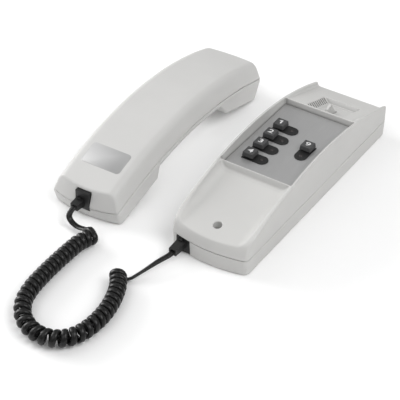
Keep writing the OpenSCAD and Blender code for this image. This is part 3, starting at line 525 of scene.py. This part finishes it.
# edges: rounding of the plan, the rear, the arch, the seam, cuts and holes
PLAN_R, REAR_R, ARCH_EDGE, SEAM_EDGE = 3.0, 1.2, 0.9, 0.3
CUT_EDGE, EAR_EDGE, HOLE_EDGE, GRILLE_EDGE = 0.8, 1.0, 0.5, 0.2
POCKET_R, POCKET_SIDE_R, POCKET_EDGE = 0.8, 0.5, 0.6
# leaning front: the front's curve counts only ahead of FRONT_ZONE
LEAN_RUN, LEAN_RISE, LEAN_R, SIN_45 = 2.6, 9.3, 1.8, 0.7071
FRONT_ZONE, FAR_INSIDE = -30.0, -40.0
# step from the mouth-end tray up to the lip, the lip, and the hidden gap round the panel
RISER_Y, RISER_LEAN, RISER_R = -42.9, 0.3, 1.8
LIP_Y, LIP_Z, LIP_HALF, LIP_R = -43.0, 42.2, 3.6, 1.0
REC_R, PANEL_SINK, MOAT_HALF_W, MOAT_HALF_H = 0.8, 0.1, 0.5, 1.2
EAR_START = -3.0
# walls, and where the roof of the hollow changes
ROOF_T, FLOOR_SLACK, WALL_T, POCKET_T = 2.4, 0.6, 2.2, 2.0
ROOF_FRONT_Y, ROOF_REAR_Y = -43.3, 59.2
# openings
KEY_SHRINK, KEY_CUT_Z, KEY_CUT_HALF = -0.7, 35.0, 4.0
NOSE_CUT_H, NOSE_CUT_HALF = 5.7, 2.5
# front case screw: place, boss, counterbore and its floor, clearance hole
SCREW_Y, SCREW_BOSS_R, SCREW_BORE_R, SCREW_SEAT_Z, SCREW_HOLE_R = -93.5, 5.5, 3.5, 18.5, 1.7
BOSS_LIFT, BOSS_SINK = 0.1, 1.0


def slope(y, z, y0, z0, angle):
    """Height above a sloping floor and distance along it."""
    c, s = math.cos(angle), math.sin(angle)
    return (z - z0) * c - (y - y0) * s, (y - y0) * c + (z - z0) * s


def front_lean(x, y, z):
    """The leaning front of the top shell, with the ramp above it."""
    rho = np.hypot(x, y - FRONT_C)
    k = LEAN_RUN / LEAN_RISE
    face = (rho - (FRONT_R - k * (z - SEAM))) / math.sqrt(1 + k * k)
    ramp = (rho - (FRONT_R - LEAN_RUN - (z - DISH_Z))) * SIN_45
    return np.where(y < FRONT_ZONE, smax(face, ramp, LEAN_R), FAR_INSIDE)


def key_hole(x, y, grow):
    """Outline of the key surrounds, square at one end and half round at the other."""
    best = None
    for _, kx, ky, turn in KEYS:
        u, v = (x - kx, y - ky) if turn == 0 else (-(y - ky), x - kx)
        w = SURROUND_HALF + grow
        body = np.maximum(np.abs(v) - w, np.maximum(-u - w, u - LAMP_STEP))
        one = np.minimum(body, np.hypot(u - LAMP_STEP, v) - w)
        best = one if best is None else np.minimum(best, one)
    return best


def ear_pocket(x, n, s):
    """The sunk pocket: n is the height above the ear tray, s the distance along it."""
    q = POCKET
    left = ((q["x0"] - x) * q["deep"] - n * q["foot"]) / math.hypot(q["deep"], q["foot"])
    lean = q["back"] / q["deep"]
    rear = (s - q["s1"] - lean * n) / math.hypot(1.0, lean)
    d = smax(left, rear, POCKET_R)
    d = smax(d, x - q["x1"], POCKET_SIDE_R)
    d = smax(d, q["s0"] - s, POCKET_SIDE_R)
    return smax(d, -q["deep"] - n, POCKET_R)


def grille(x, n, s):
    """Slots in the sloping left side of the pocket."""
    q = POCKET
    pitch = (POCKET_L - 2 * SLOT_IN) / (SLOT_N - 1)
    first = q["s0"] + SLOT_IN
    near = np.clip(np.round((s - first) / pitch), 0, SLOT_N - 1) * pitch + first
    run = math.hypot(q["foot"], q["deep"])
    down = ((x - q["x0"]) * q["foot"] - n * q["deep"]) / run
    out = ((x - q["x0"]) * q["deep"] + n * q["foot"]) / run
    d = corner(np.abs(s - near) - SLOT_W / 2, np.abs(down - run / 2) - SLOT_L / 2, SLOT_R)
    return np.maximum(d, np.abs(out) - SLOT_DEEP)


def top_shell(x, y, z):
    ax = np.abs(x)
    plan = smax(ax - HALF_W, front_lean(x, y, z), PLAN_R)
    plan = smax(plan, y - BACK_Y, REAR_R)
    arch = np.hypot(y - ARCH_Y, z - ARCH_Z) - ARCH_R
    body = smax(plan, arch, ARCH_EDGE)
    body = smax(body, SEAM - z, SEAM_EDGE)
    # mouth-end tray and lip
    dish_h, _ = slope(y, z, DISH_Y, DISH_Z, DISH_A)
    riser = (y - RISER_Y - RISER_LEAN * (z - FLOOR_TOP)) / math.hypot(1.0, RISER_LEAN)
    tray = smax(corner(ax - TRAY_X, -dish_h, TRAY_R), riser, RISER_R)
    body = cut(body, tray, CUT_EDGE)
    lip = np.maximum(smax(LIP_Z - z, ax - REC_X, LIP_R), np.abs(y - LIP_Y) - LIP_HALF)
    body = cut(body, lip, CUT_EDGE)
    # panel recess, with a narrow gap hidden round the panel
    inside = smax(ax - REC_X, np.maximum(REC_Y0 - y, y - REC_Y1), REC_R)
    body = cut(body, np.maximum(inside, FLOOR_TOP - PANEL_SINK - z), CUT_EDGE)
    moat = np.maximum(np.abs(inside + MOAT_HALF_W) - MOAT_HALF_W, np.abs(z - FLOOR_TOP) - MOAT_HALF_H)
    body = np.maximum(body, -moat)
    # ear-end tray and pocket
    ear_h, ear_s = slope(y, z, EAR_Y, EAR_Z, EAR_A)
    ear = np.maximum(corner(ax - TRAY_X, -ear_h, EAR_R), EAR_START - ear_s)
    body = cut(body, ear, EAR_EDGE)
    pocket = ear_pocket(x, ear_h, ear_s)
    body = cut(body, pocket, POCKET_EDGE)
    # hollow inside
    roof = np.where(y < ROOF_REAR_Y, z - FLOOR_LOW + FLOOR_SLACK, ear_h + ROOF_T)
    roof = np.where(y < ROOF_FRONT_Y, dish_h + ROOF_T, roof)
    hollow = np.maximum(plan + WALL_T, roof)
    hollow = np.maximum(hollow, POCKET_T - pocket)
    body = np.maximum(body, -hollow)
    # openings for the keys, the hook nose and the case screw
    keys = np.maximum(key_hole(x, y, KEY_SHRINK), np.abs(z - KEY_CUT_Z) - KEY_CUT_HALF)
    body = np.maximum(body, -keys)
    nose = np.maximum(np.abs(x - NOSE_X + NOSE_T / 2) - NOSE_T / 2 - NOSE_GAP,
                      np.abs(ear_h + NOSE_CUT_H) - NOSE_CUT_HALF)
    nose = np.maximum(nose, np.maximum(NOSE_S0 - NOSE_GAP - ear_s, ear_s - NOSE_S1 - NOSE_SWING))
    body = np.maximum(body, -nose)
    bore = np.hypot(x, y - SCREW_Y)
    boss = np.maximum(np.maximum(bore - SCREW_BOSS_R, SEAM + BOSS_LIFT - z), dish_h + BOSS_SINK)
    body = np.minimum(body, boss)
    hole = np.minimum(np.maximum(bore - SCREW_BORE_R, SCREW_SEAT_Z - z), bore - SCREW_HOLE_R)
    body = cut(body, hole, HOLE_EDGE)
    return cut(body, grille(x, ear_h, ear_s), GRILLE_EDGE)


# bottom cover: how far front and rear draw in towards the back face, and its edges and walls
COVER_FRONT_IN, COVER_REAR_IN, COVER_PLAN_R, COVER_FOOT_R = 0.7, 2.0, 3.6, 1.6
COVER_GAP, COVER_WALL_T, COVER_FLOOR_T = 0.6, 2.5, 2.2
# rear case screws, wall screws, cable entry and jack opening
REAR_SCREW_X, REAR_SCREW_Y, REAR_BOSS_R, FRONT_BOSS_R, BOSS_TOP_Z, BOSS_FOOT_Z = 22.0, 96.5, 5.5, 4.0, 14.3, 0.8
REAR_BORE_R, REAR_BORE_Z = 3.5, 10.5
WALL_Y, WALL_HALF, WALL_BOSS_R, WALL_BOSS_Z, WALL_HOLE_R = 2.0, 60.0, 5.25, 4.7, 2.25
CABLE_Y, CABLE_R, CABLE_TOP_Z = -36.0, 6.0, 9.0
JACK_X, JACK_HALF, JACK_Y, JACK_Z = -21.1, 6.35, -93.0, 1.0


def bottom_cover(x, y, z):
    ax = np.abs(x)
    rho = np.hypot(x, y - FRONT_C)
    up = (SEAM - z) / SEAM
    front = np.where(y < FRONT_ZONE, rho - (FRONT_R - COVER_FRONT_IN * up), FAR_INSIDE)
    plan = smax(ax - HALF_W, front, COVER_PLAN_R)
    plan = smax(plan, y - (BACK_Y - COVER_REAR_IN * up), REAR_R)
    body = smax(plan, -z, COVER_FOOT_R)
    body = smax(body, z - (SEAM - COVER_GAP), SEAM_EDGE)
    body = np.maximum(body, -np.maximum(plan + COVER_WALL_T, COVER_FLOOR_T - z))
    rear = np.hypot(ax - REAR_SCREW_X, y - REAR_SCREW_Y)
    wall = np.hypot(x, np.abs(y - WALL_Y) - WALL_HALF)
    boss = np.minimum(rear - REAR_BOSS_R, np.hypot(x, y - SCREW_Y) - FRONT_BOSS_R)
    boss = np.minimum(np.maximum(boss, z - BOSS_TOP_Z), np.maximum(wall - WALL_BOSS_R, z - WALL_BOSS_Z))
    body = np.minimum(body, np.maximum(boss, BOSS_FOOT_Z - z))
    holes = np.maximum(rear - REAR_BORE_R, z - REAR_BORE_Z)
    holes = np.minimum(holes, wall - WALL_HOLE_R)
    holes = np.minimum(holes, np.maximum(np.hypot(x, y - CABLE_Y) - CABLE_R, z - CABLE_TOP_Z))
    body = cut(body, holes, HOLE_EDGE)
    jack = np.maximum(np.abs(x - JACK_X) - JACK_HALF, np.maximum(y - JACK_Y, JACK_Z - z))
    return cut(body, jack, HOLE_EDGE)


# Handset in its own frame: x across, y along, z up

# arch of the back, flat sides, and the sloping shoulders between them
HS_ARCH_Y, HS_BACK_Z, HS_BACK_R, HS_HALF = 8.0, 260.8, 308.0, 31.5
SHOULDER_X, SHOULDER_ACROSS, SHOULDER_UP, SHOULDER_R, HS_SIDE_R = 25.3, 0.9195, 0.3931, 5.0, 1.6
# ends, round in plan with a knee; above and below it each leans in: run, rise, slant
HS_END_R, HS_KNEE_R, HS_FAR_INSIDE = 115.0, 1.0, -60.0
MOUTH_C, MOUTH_KNEE, MOUTH_ABOVE, MOUTH_BELOW = 5.2, 11.5, (4.8, 13.5, 0.942), (3.3, 11.5, 0.961)
EAR_C, EAR_KNEE, EAR_ABOVE, EAR_BELOW = -2.0, 16.0, (1.5, 14.0, 0.994), (9.5, 16.0, 0.86)
# edges of the back to the mouth end and the ear end, and upright corners
MOUTH_EDGE, EAR_END_EDGE, END_CORNER_R, UNDER_R = 1.1, 1.4, 3.0, 1.8
# underside: mouth pad, grip arch, ear pad, and the box above
UNDER_MOUTH = [(-106.5, 0.0), (-101.0, 0.0), (-50.6, 12.3), (-47.1, 22.9)]
GRIP_TOP, GRIP_R, GRIP_Y0, GRIP_Y1, GRIP_N = 27.6, 289.0, -45.0, 41.0, 20
UNDER_EAR = [(42.7, 25.4), (53.7, 13.1), (101.0, 0.0), (103.5, 0.0)]
UNDER_BOX = [(150.0, 0.0), (150.0, 90.0), (-150.0, 90.0), (-150.0, 0.0)]
HS_SEAM_Z, HS_SEAM_R, HS_SEAM_HALF, HS_WALL = 308.4, 340.0, 0.28, 2.2
HS_JACK_HALF, HS_JACK_Y, HS_JACK_Z, HS_JACK_HALF_H = 6.75, -93.5, 15.4, 8.15
SOUND_R, SOUND_RING, RECEIVER_Y, MIC_Y, MIC_HOLES = 1.2, 6, 71.0, -82.0, (-6.0, 0.0, 6.0)
HS_SCREWS, HS_SCREW_R, HS_HOLE_TOP = (-66.0, 98.0), 3.0, 15.0


def under_profile():
    c = GRIP_TOP - GRIP_R
    pts = list(UNDER_MOUTH)
    for y in np.linspace(GRIP_Y0, GRIP_Y1, GRIP_N):
        pts.append((float(y), c + math.sqrt(GRIP_R * GRIP_R - (y - HS_ARCH_Y) ** 2)))
    return pts + UNDER_EAR + UNDER_BOX


PROFILE = under_profile()


def to_handset(x, y):
    c, s = math.cos(HS_TURN), math.sin(HS_TURN)
    u, v = x - HS_X, y - HS_Y
    return u * c + v * s, v * c - u * s


def end_face(x, y, z, centre, knee, above, below):
    rho = np.hypot(x, y - centre)
    up = (rho - (HS_END_R - above[0] * (z - knee) / above[1])) * above[2]
    low = (rho - (HS_END_R - below[0] * (knee - z) / below[1])) * below[2]
    return smax(up, low, HS_KNEE_R)


def hs_outer(x, y, z):
    ax = np.abs(x)
    rho = np.hypot(y - HS_ARCH_Y, z + HS_BACK_Z)
    shoulder = (ax - SHOULDER_X) * SHOULDER_ACROSS + (rho - HS_BACK_R) * SHOULDER_UP
    back = smax(smax(rho - HS_BACK_R, shoulder, SHOULDER_R), ax - HS_HALF, HS_SIDE_R)
    mouth = end_face(x, y, z, MOUTH_C, MOUTH_KNEE, MOUTH_ABOVE, MOUTH_BELOW)
    mouth = np.where(y < 0, mouth, HS_FAR_INSIDE)
    ear = end_face(x, y, z, EAR_C, EAR_KNEE, EAR_ABOVE, EAR_BELOW)
    ear = np.where(y > 0, ear, HS_FAR_INSIDE)
    body = smax(smax(back, mouth, MOUTH_EDGE), ear, EAR_END_EDGE)
    sides = smax(smax(ax - HS_HALF, mouth, END_CORNER_R), ear, END_CORNER_R)
    body = np.maximum(body, sides)
    return smax(body, polygon_field(y, z, PROFILE), UNDER_R)


def hs_shell(x, y, z, side):
    """One half of the handset's wall, above the seam for side 1 and below it for side -1."""
    outer = hs_outer(x, y, z)
    seam = np.hypot(y - HS_ARCH_Y, z + HS_SEAM_Z) - HS_SEAM_R
    body = smax(outer, HS_SEAM_HALF - side * seam, SEAM_EDGE)
    body = np.maximum(body, -(outer + HS_WALL))
    jack = np.maximum(y - HS_JACK_Y, np.abs(z - HS_JACK_Z) - HS_JACK_HALF_H)
    return cut(body, np.maximum(np.abs(x) - HS_JACK_HALF, jack), HOLE_EDGE)


def hs_back(x, y, z):
    x, y = to_handset(x, y)
    return hs_shell(x, y, z, 1)


def hs_front(x, y, z):
    x, y = to_handset(x, y)
    body = hs_shell(x, y, z, -1)
    holes = np.hypot(x, y - RECEIVER_Y) - SOUND_R
    for i in range(6):
        a = math.radians(60 * i)
        ring = np.hypot(x - SOUND_RING * math.cos(a), y - RECEIVER_Y - SOUND_RING * math.sin(a))
        holes = np.minimum(holes, ring - SOUND_R)
    for hx in MIC_HOLES:
        holes = np.minimum(holes, np.hypot(x - hx, y - MIC_Y) - SOUND_R)
    for hy in HS_SCREWS:
        holes = np.minimum(holes, np.hypot(x, y - hy) - HS_SCREW_R)
    holes = np.maximum(holes, z - HS_HOLE_TOP)
    return cut(body, holes, HOLE_EDGE)


# Cord

CORD_W, CORD_T, TAIL_T = 4.7, 3.4, 2.5
CORD_SIDES, CORD_SQUARE = 14, 2.4
# places on the floor plan, then places of the two tails with their height
ROUTE = [(-84.4, -138), (-88, -149.8), (-88.6, -164.4), (-88.4, -179.2), (-87.7, -194.1), (-86, -208.6),
         (-81.7, -222.4), (-73.6, -233.7), (-63, -240.8), (-52, -243.5), (-41.7, -241.9), (-33.3, -236.1),
         (-28.1, -227.2), (-25.8, -214.8), (-26.1, -200.6), (-29.4, -185.9), (-35, -172.4), (-41.6, -163),
         (-45.4, -159)]
HS_TAIL = [(-112.4, -129, 10.2), (-109.8, -130.9, 6.6), (-102.6, -132.5, 5), (-93.6, -134, 7.6),
           (-87.2, -135.8, 11.8)]
BASE_TAIL = [(-36, -157.5, 2.5), (-32.2, -149.8, 4.1), (-28.9, -141.4, 5.9), (-25.7, -133, 7.5)]
# how far the flat cord has turned on its side along the base's tail, in degrees
BASE_TWIST = (50.0, 46.0, 26.0, 8.0)
TWIST_SIDE = (0.93, -0.37, 0.0)
# where the cord enters the two plugs, and how far it goes in
HS_PLUG_X, HS_PLUG_Y, HS_PLUG_Z = 2.6, -109.8 + 1.4 - 8.0, 13.0
BASE_PLUG = (-22.5, FRONT_Y + 2.2 - 12.5, 8.6)
PLUG_IN = 4
# share of the curls, and share of the route that they take
SPREAD = ((0, 0.34, 0.45, 0.52, 0.6, 0.74, 1), (0, 0.3, 0.42, 0.51, 0.608, 0.757, 1))
CURLS, CAD_RINGS, CAD_CORD = 40, 8, 4.2
COIL_OD, FIRST_ANGLE = 14.2, 60.0
ROUTE_STEPS, TANGENT_STEP = 241, 0.02
COIL_R, COIL_Z = (COIL_OD - CAD_CORD) / 2, COIL_OD / 2 + 0.3


def spline(pts, u):
    """Smooth line through points, at the place u counted in points."""
    pts = np.asarray(pts, float)
    n = len(pts)
    u = np.atleast_1d(u)
    i = np.clip(np.floor(u).astype(int), 0, n - 2)
    t = (u - i)[:, None]
    p0, p1, p2, p3 = pts[np.maximum(i - 1, 0)], pts[i], pts[i + 1], pts[np.minimum(i + 2, n - 1)]
    return 0.5 * (2 * p1 + (p2 - p0) * t + (2 * p0 - 5 * p1 + 4 * p2 - p3) * t * t
                  + (3 * p1 - p0 - 3 * p2 + p3) * t ** 3)


def coil_points(k):
    """Places on the coil and the coil's own middle line there, for ring numbers k."""
    end = len(ROUTE) - 1
    line_u = np.linspace(0, end, ROUTE_STEPS)
    line = spline(ROUTE, line_u)
    run = np.concatenate([[0], np.cumsum(np.linalg.norm(np.diff(line, axis=0), axis=1))])
    f = k / (CURLS * CAD_RINGS)
    a = np.radians(360.0 * k / CAD_RINGS + FIRST_ANGLE)
    u = np.interp(np.interp(f, *SPREAD) * run[-1], run, line_u)
    c = spline(ROUTE, u)
    q = spline(ROUTE, np.minimum(u + TANGENT_STEP, end)) - spline(ROUTE, np.maximum(u - TANGENT_STEP, 0))
    q /= np.linalg.norm(q, axis=1)[:, None]
    middle = np.column_stack([c, np.full(len(c), COIL_Z)])
    side = np.column_stack([-q[:, 1], q[:, 0], np.zeros(len(q))])
    out = np.sin(a)[:, None] * side + np.cos(a)[:, None] * np.array([0, 0, 1.0])
    return middle + COIL_R * out, middle


def cord_line():
    """Ring centres from the base plug to the handset plug.

    Also the thin direction and the thickness of the flat cord at each, and the place where it leaves the base.
    """
    along = np.array([-math.sin(HS_TURN), math.cos(HS_TURN), 0])
    across = np.array([math.cos(HS_TURN), math.sin(HS_TURN), 0])
    hs_end = np.array([HS_X, HS_Y, HS_PLUG_Z]) - HS_PLUG_X * across + HS_PLUG_Y * along
    base_end = np.array(BASE_PLUG)
    y = np.array([0, 1.0, 0])
    k = np.arange(0, CURLS * CAD_RINGS - 4)
    coil, middle = coil_points(k.astype(float))
    first = [hs_end + PLUG_IN * along, hs_end] + [np.array(p, float) for p in HS_TAIL]
    last = [np.array(p, float) for p in BASE_TAIL]
    last += [base_end - CAD_CORD * y, base_end, base_end + PLUG_IN * y]
    control = np.array(first + list(coil) + last)
    up = np.array([0, 0, 1.0])
    side = np.array(TWIST_SIDE)
    twist = [math.sin(math.radians(a)) * side - math.cos(math.radians(a)) * up for a in BASE_TWIST]
    thin_dir = np.array([up] * len(first) + list((coil - middle) / COIL_R) + twist + [-up] * 3)
    thick = np.array([TAIL_T] * len(first) + [CORD_T] * len(coil) + [TAIL_T] * len(last))
    steps = []
    for i in range(len(control) - 1):
        sub = 2 if len(first) <= i < len(first) + len(coil) - 1 else 4
        steps += [i + j / sub for j in range(sub)]
    steps.append(len(control) - 1.0)
    steps = np.array(steps)
    line = spline(control, steps)
    knots = np.arange(len(control))
    lean = np.stack([np.interp(steps, knots, thin_dir[:, j]) for j in range(3)], 1)
    slim = np.interp(steps, knots, thick)
    return line[::-1] * MM, lean[::-1], slim[::-1], base_end * MM


def add_cord(mat):
    line, lean, thick, leave = cord_line()
    sides = CORD_SIDES
    t = np.gradient(line, axis=0)
    t /= np.linalg.norm(t, axis=1)[:, None]
    n = lean - (lean * t).sum(1)[:, None] * t
    n /= np.linalg.norm(n, axis=1)[:, None]
    b = np.cross(t, n)
    verts = []
    for j in range(sides):
        a = 2 * math.pi * j / sides
        ca, sa = math.cos(a), math.sin(a)
        p = 2.0 / CORD_SQUARE
        wide = math.copysign(abs(sa) ** p, sa) * CORD_W / 2
        slim = math.copysign(abs(ca) ** p, ca) * thick[:, None] / 2
        verts.append(line + MM * (slim * n + wide * b))
    verts = np.stack(verts, 1).reshape(-1, 3)
    m = len(line)
    faces = ring_quads(m, sides)
    faces.append(tuple(range(sides))[::-1])
    faces.append(tuple((m - 1) * sides + j for j in range(sides)))
    ob = add_mesh("cord", verts, faces, mat)
    bm = bmesh.new()
    bm.from_mesh(ob.data)
    bmesh.ops.recalc_face_normals(bm, faces=bm.faces)
    bm.to_mesh(ob.data)
    bm.free()
    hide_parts("curly_cord")
    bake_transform(ob)
    length = float(np.linalg.norm(np.diff(line, axis=0), axis=1).sum())
    return ob, line, leave, length


# Keys

CAP_CORNER = 6
# half width, corner radius and height of the cap's rings, from its inner lower edge over the top to the dish
CAP_RINGS = [
    (CAP_FOOT - 0.4, 0.4, CAP_LOW + 0.5), (CAP_FOOT - 0.1, 0.45, CAP_LOW + 0.02),
    (CAP_FOOT - 0.01, 0.5, CAP_LOW + 0.1), (CAP_FOOT - 0.02, 0.5, CAP_LOW + 0.3),
    (CAP_TOP + 0.09, 0.5, CAP_LOW + 0.7 * (CAP_HIGH - CAP_LOW)), (CAP_TOP + 0.02, 0.5, CAP_HIGH - 0.3),
    (CAP_TOP - 0.03, 0.5, CAP_HIGH - 0.14), (CAP_TOP - 0.12, 0.5, CAP_HIGH - 0.04),
    (CAP_TOP - 0.26, 0.5, CAP_HIGH), (CAP_TOP - 0.7, 0.5, CAP_HIGH - 0.02),
    (2.4, 0.45, CAP_HIGH - 0.08), (1.2, 0.3, CAP_HIGH - 0.11),
]
# radius and height of the stem's rings, from the cap down
STEM = [(1.6, CAP_LOW + 0.5), (1.6, 33.0), (2.8, 33.0), (2.8, 32.4), (1.6, 32.4), (1.6, 30.6)]


def rounded_square(half, r, z, n):
    pts = []
    for q in range(4):
        cx = (half - r) * (1 if q in (0, 3) else -1)
        cy = (half - r) * (1 if q in (0, 1) else -1)
        for i in range(n):
            a = math.radians(90 * q + 90 * i / (n - 1))
            pts.append((cx + r * math.cos(a), cy + r * math.sin(a), z))
    return pts


def add_key(name, kx, ky, mats):
    """Cap with drafted sides, a soft top edge and a shallow dish, on its stem."""
    verts = []
    for half, r, z in CAP_RINGS:
        verts += rounded_square(half, r, z, CAP_CORNER)
    m = 4 * CAP_CORNER
    faces = ring_quads(len(CAP_RINGS), m)
    faces.append(tuple(range((len(CAP_RINGS) - 1) * m, len(CAP_RINGS) * m)))
    base = len(verts)
    for r, z in STEM:
        angles = [2 * math.pi * j / m for j in range(m)]
        verts += [(r * math.cos(a), r * math.sin(a), z) for a in angles]
    for i in range(len(STEM) - 1):
        a, c = base + i * m, base + (i + 1) * m
        faces += [(a + j, c + j, c + (j + 1) % m, a + (j + 1) % m) for j in range(m)]
    faces.append(tuple(base + (len(STEM) - 1) * m + j for j in range(m))[::-1])
    # underside of the cap, from its inner edge to the stem
    for j in range(m):
        a, c = j, (j + 1) % m
        faces.append((c, a, base + j, base + (j + 1) % m))
    verts = [((x + kx) * MM, (y + ky) * MM, z * MM) for x, y, z in verts]
    ob = add_mesh("key_%s_cap" % name, verts, faces, mats["key"])
    ob.data.set_sharp_from_angle(angle=SHARP_ANGLE)
    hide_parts("key_cap_" + name)
    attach(ob, "key_" + name)
    add_numeral(name, kx, ky, mats["numeral"])


NUMERAL_SIZE, NUMERAL_BOLD, NUMERAL_WIDE = 6.2, 0.07, 1.5
NUMERAL_HALF, NUMERAL_SINK, NUMERAL_UP = 0.06, 0.09, 0.4
ONE = [(-0.15, -2.2), (1.05, -2.2), (1.05, 2.2), (0.05, 2.2), (-1.65, 1.5), (-1.65, 0.55), (-0.15, 1.1)]


def one_mesh():
    """The numeral one with its flag, a flat outline with a little thickness."""
    n = len(ONE)
    verts = [(x * MM, y * MM, z * MM) for z in (-NUMERAL_HALF, NUMERAL_HALF) for x, y in ONE]
    faces = [tuple(range(n))[::-1], tuple(range(n, 2 * n))]
    faces += [(i, (i + 1) % n, n + (i + 1) % n, n + i) for i in range(n)]
    mesh = bpy.data.meshes.new("numeral_1")
    mesh.from_pydata(verts, [], faces)
    return mesh


def text_mesh(name):
    """A numeral in the plain built-in type, widened."""
    curve = bpy.data.curves.new("numeral_" + name, "FONT")
    curve.body = name
    curve.size = NUMERAL_SIZE * MM
    curve.extrude = NUMERAL_HALF * MM
    curve.offset = NUMERAL_BOLD * MM
    curve.resolution_u = 6
    text = bpy.data.objects.new("numeral_text_" + name, curve)
    SCENE.collection.objects.link(text)
    bpy.context.view_layer.update()
    mesh = bpy.data.meshes.new_from_object(text.evaluated_get(bpy.context.evaluated_depsgraph_get()))
    bpy.data.objects.remove(text)
    co = np.array([v.co for v in mesh.vertices])
    mid = (co.max(0) + co.min(0)) / 2
    mesh.transform(Matrix.Translation((-mid[0], -mid[1], 0)))
    mesh.transform(Matrix.Diagonal((NUMERAL_WIDE, 1.0, 1.0, 1.0)))
    return mesh


def add_numeral(name, kx, ky, mat):
    mesh = one_mesh() if name == "1" else text_mesh(name)
    ob = bpy.data.objects.new("numeral_" + name, mesh)
    SCENE.collection.objects.link(ob)
    place = (kx * MM, (ky + NUMERAL_UP) * MM, (CAP_HIGH - NUMERAL_SINK) * MM)
    mesh.transform(Matrix.Translation(place))
    mesh.materials.clear()
    mesh.materials.append(mat)
    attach(ob, "key_" + name)


# Bare plate near the mouth end

PLATE_X, PLATE_Y0, PLATE_Y1, PLATE_R = 18.2, -85.4, -65.6, 3.2
PLATE_OUT, PLATE_IN, PLATE_CORNER = 308.22, 307.4, 9
# inset and radius of the plate's rings, from its hidden face to its top
PLATE_RINGS = [(0.25, PLATE_IN), (0.0, PLATE_IN), (0.0, PLATE_OUT - 0.12), (0.12, PLATE_OUT)]


def add_plate(mat):
    """A thin sheet bent to the arch of the back, with round corners and a broken edge."""
    verts = []
    mid, half = (PLATE_Y0 + PLATE_Y1) / 2, (PLATE_Y1 - PLATE_Y0) / 2
    c, s = math.cos(HS_TURN), math.sin(HS_TURN)

    def put(x, y, rho):
        z = -HS_BACK_Z + math.sqrt(rho * rho - (y - HS_ARCH_Y) ** 2)
        verts.append(((HS_X + x * c - y * s) * MM, (HS_Y + x * s + y * c) * MM, z * MM))

    for inset, rho in PLATE_RINGS:
        r = PLATE_R - inset
        for q in range(4):
            cx = (PLATE_X - PLATE_R) * (1 if q in (0, 3) else -1)
            cy = mid + (half - PLATE_R) * (1 if q in (0, 1) else -1)
            for i in range(PLATE_CORNER):
                a = math.radians(90 * q + 90 * i / (PLATE_CORNER - 1))
                put(cx + r * math.cos(a), cy + r * math.sin(a), rho)
    m = 4 * PLATE_CORNER
    faces = ring_quads(len(PLATE_RINGS), m)
    faces.append(tuple(range(m))[::-1])
    faces.append(tuple(range((len(PLATE_RINGS) - 1) * m, len(PLATE_RINGS) * m)))
    ob = add_mesh("plate", verts, faces, mat)
    ob.data.set_sharp_from_angle(angle=math.radians(40))
    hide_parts("handset_plate")
    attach(ob, "handset")


# Build

add_camera()
add_studio()
MATS = make_materials()

cord, cord_path, cord_exit, cord_length = add_cord(MATS["cord"])

PLUG_EDGE = 0.3
for node, body in (("base_plug", "base"), ("handset_plug", "handset")):
    plug = softened(node, MATS["black"], PLUG_EDGE)
    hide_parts(node)
    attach(plug, body)

# grid lines for the four shells, closer where the forms are small
SHELL_GRID = (stations((-35, 0.35), (-29, 0.8), (-15, 0.32), (-6, 0.5), (2, 0.35), (7, 0.8), (18, 0.45), (22, 0.8),
                       (29, 0.35), (35, 0)),
              stations((-112.5, 0.45), (-104, 0.8), (-46, 0.35), (-38, 0.8), (54, 0.32), (94, 0.8), (108, 0.4),
                       (112.5, 0)),
              stations((12.5, 0.45), (49.5, 0)))
COVER_GRID = (stations((-35, 0.4), (-27, 0.6), (27, 0.4), (35, 0)),
              stations((-112.5, 0.45), (-90, 0.8), (90, 0.5), (112.5, 0)),
              stations((-2, 0.4), (16, 0)))
BACK_GRID = (stations((-147, 0.75), (-77, 0)),
             stations((-119.5, 0.6), (-95, 0.9), (90, 0.6), (109.5, 0)),
             stations((8, 0.55), (49.5, 0)))
FRONT_GRID = (stations((-147, 0.75), (-121, 0.45), (-104, 0.75), (-77, 0)),
              stations((-119.5, 0.5), (-66, 0.9), (40, 0.5), (75, 0.6), (109.5, 0)),
              stations((-2, 0.5), (34, 0)))
# piece, node that it replaces, form, grid, material, slot, body
SHELLS = [
    ("base_shell", "base_top_shell", top_shell, SHELL_GRID, "shell", "shell_plastic", "base"),
    ("base_cover", "base_bottom_cover", bottom_cover, COVER_GRID, "cover", "cover_plastic", "base"),
    ("handset_back", "handset_back_shell", hs_back, BACK_GRID, "handset", "handset_plastic", "handset"),
    ("handset_front", "handset_front_shell", hs_front, FRONT_GRID, "handset", "handset_plastic", "handset"),
]
for name, node, field, axes, mat, slot, body in SHELLS:
    ob = thin(field_mesh(name, field, axes, MATS[mat]))
    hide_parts(node)
    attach(ob, body)

for name, kx, ky, _ in KEYS:
    add_key(name, kx, ky, MATS)
add_plate(MATS["plate"])

# node, material, slot, width of the broken edge, body
SOFT = [
    ("key_surrounds", "black", "black_plastic", 0.2, "base"),
    ("hook_lever", "shell", "shell_plastic", 0.35, "hook"),
    ("base_jack", "black", "black_plastic", 0.25, "base"),
    ("handset_jack", "black", "black_plastic", 0.25, "handset"),
    ("case_screws", "steel", "screw_steel", 0.3, "base"),
    ("key_panel", "panel", "panel_metal", 0.15, "base"),
    ("indicator_lamps", "lamp", "lamp_plastic", 0.3, "base"),
]
for node, mat, slot, width, body in SOFT:
    ob = softened(node, MATS[mat], width)
    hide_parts(node)
    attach(ob, body)

# inside nodes that stay as they are, with their materials
KEPT = {"circuit_board": "board", "key_switches": "black", "board_screws": "steel", "hook_pin": "steel",
        "hook_switch": "black", "sounder": "black", "terminal_block": "terminal", "receiver_capsule": "black",
        "microphone_capsule": "capsule", "microphone_holder": "soft_black", "handset_screws": "steel"}
for node, mat in KEPT.items():
    NODES[node].data.materials.clear()
    NODES[node].data.materials.append(MATS[mat])

bpy.context.view_layer.update()
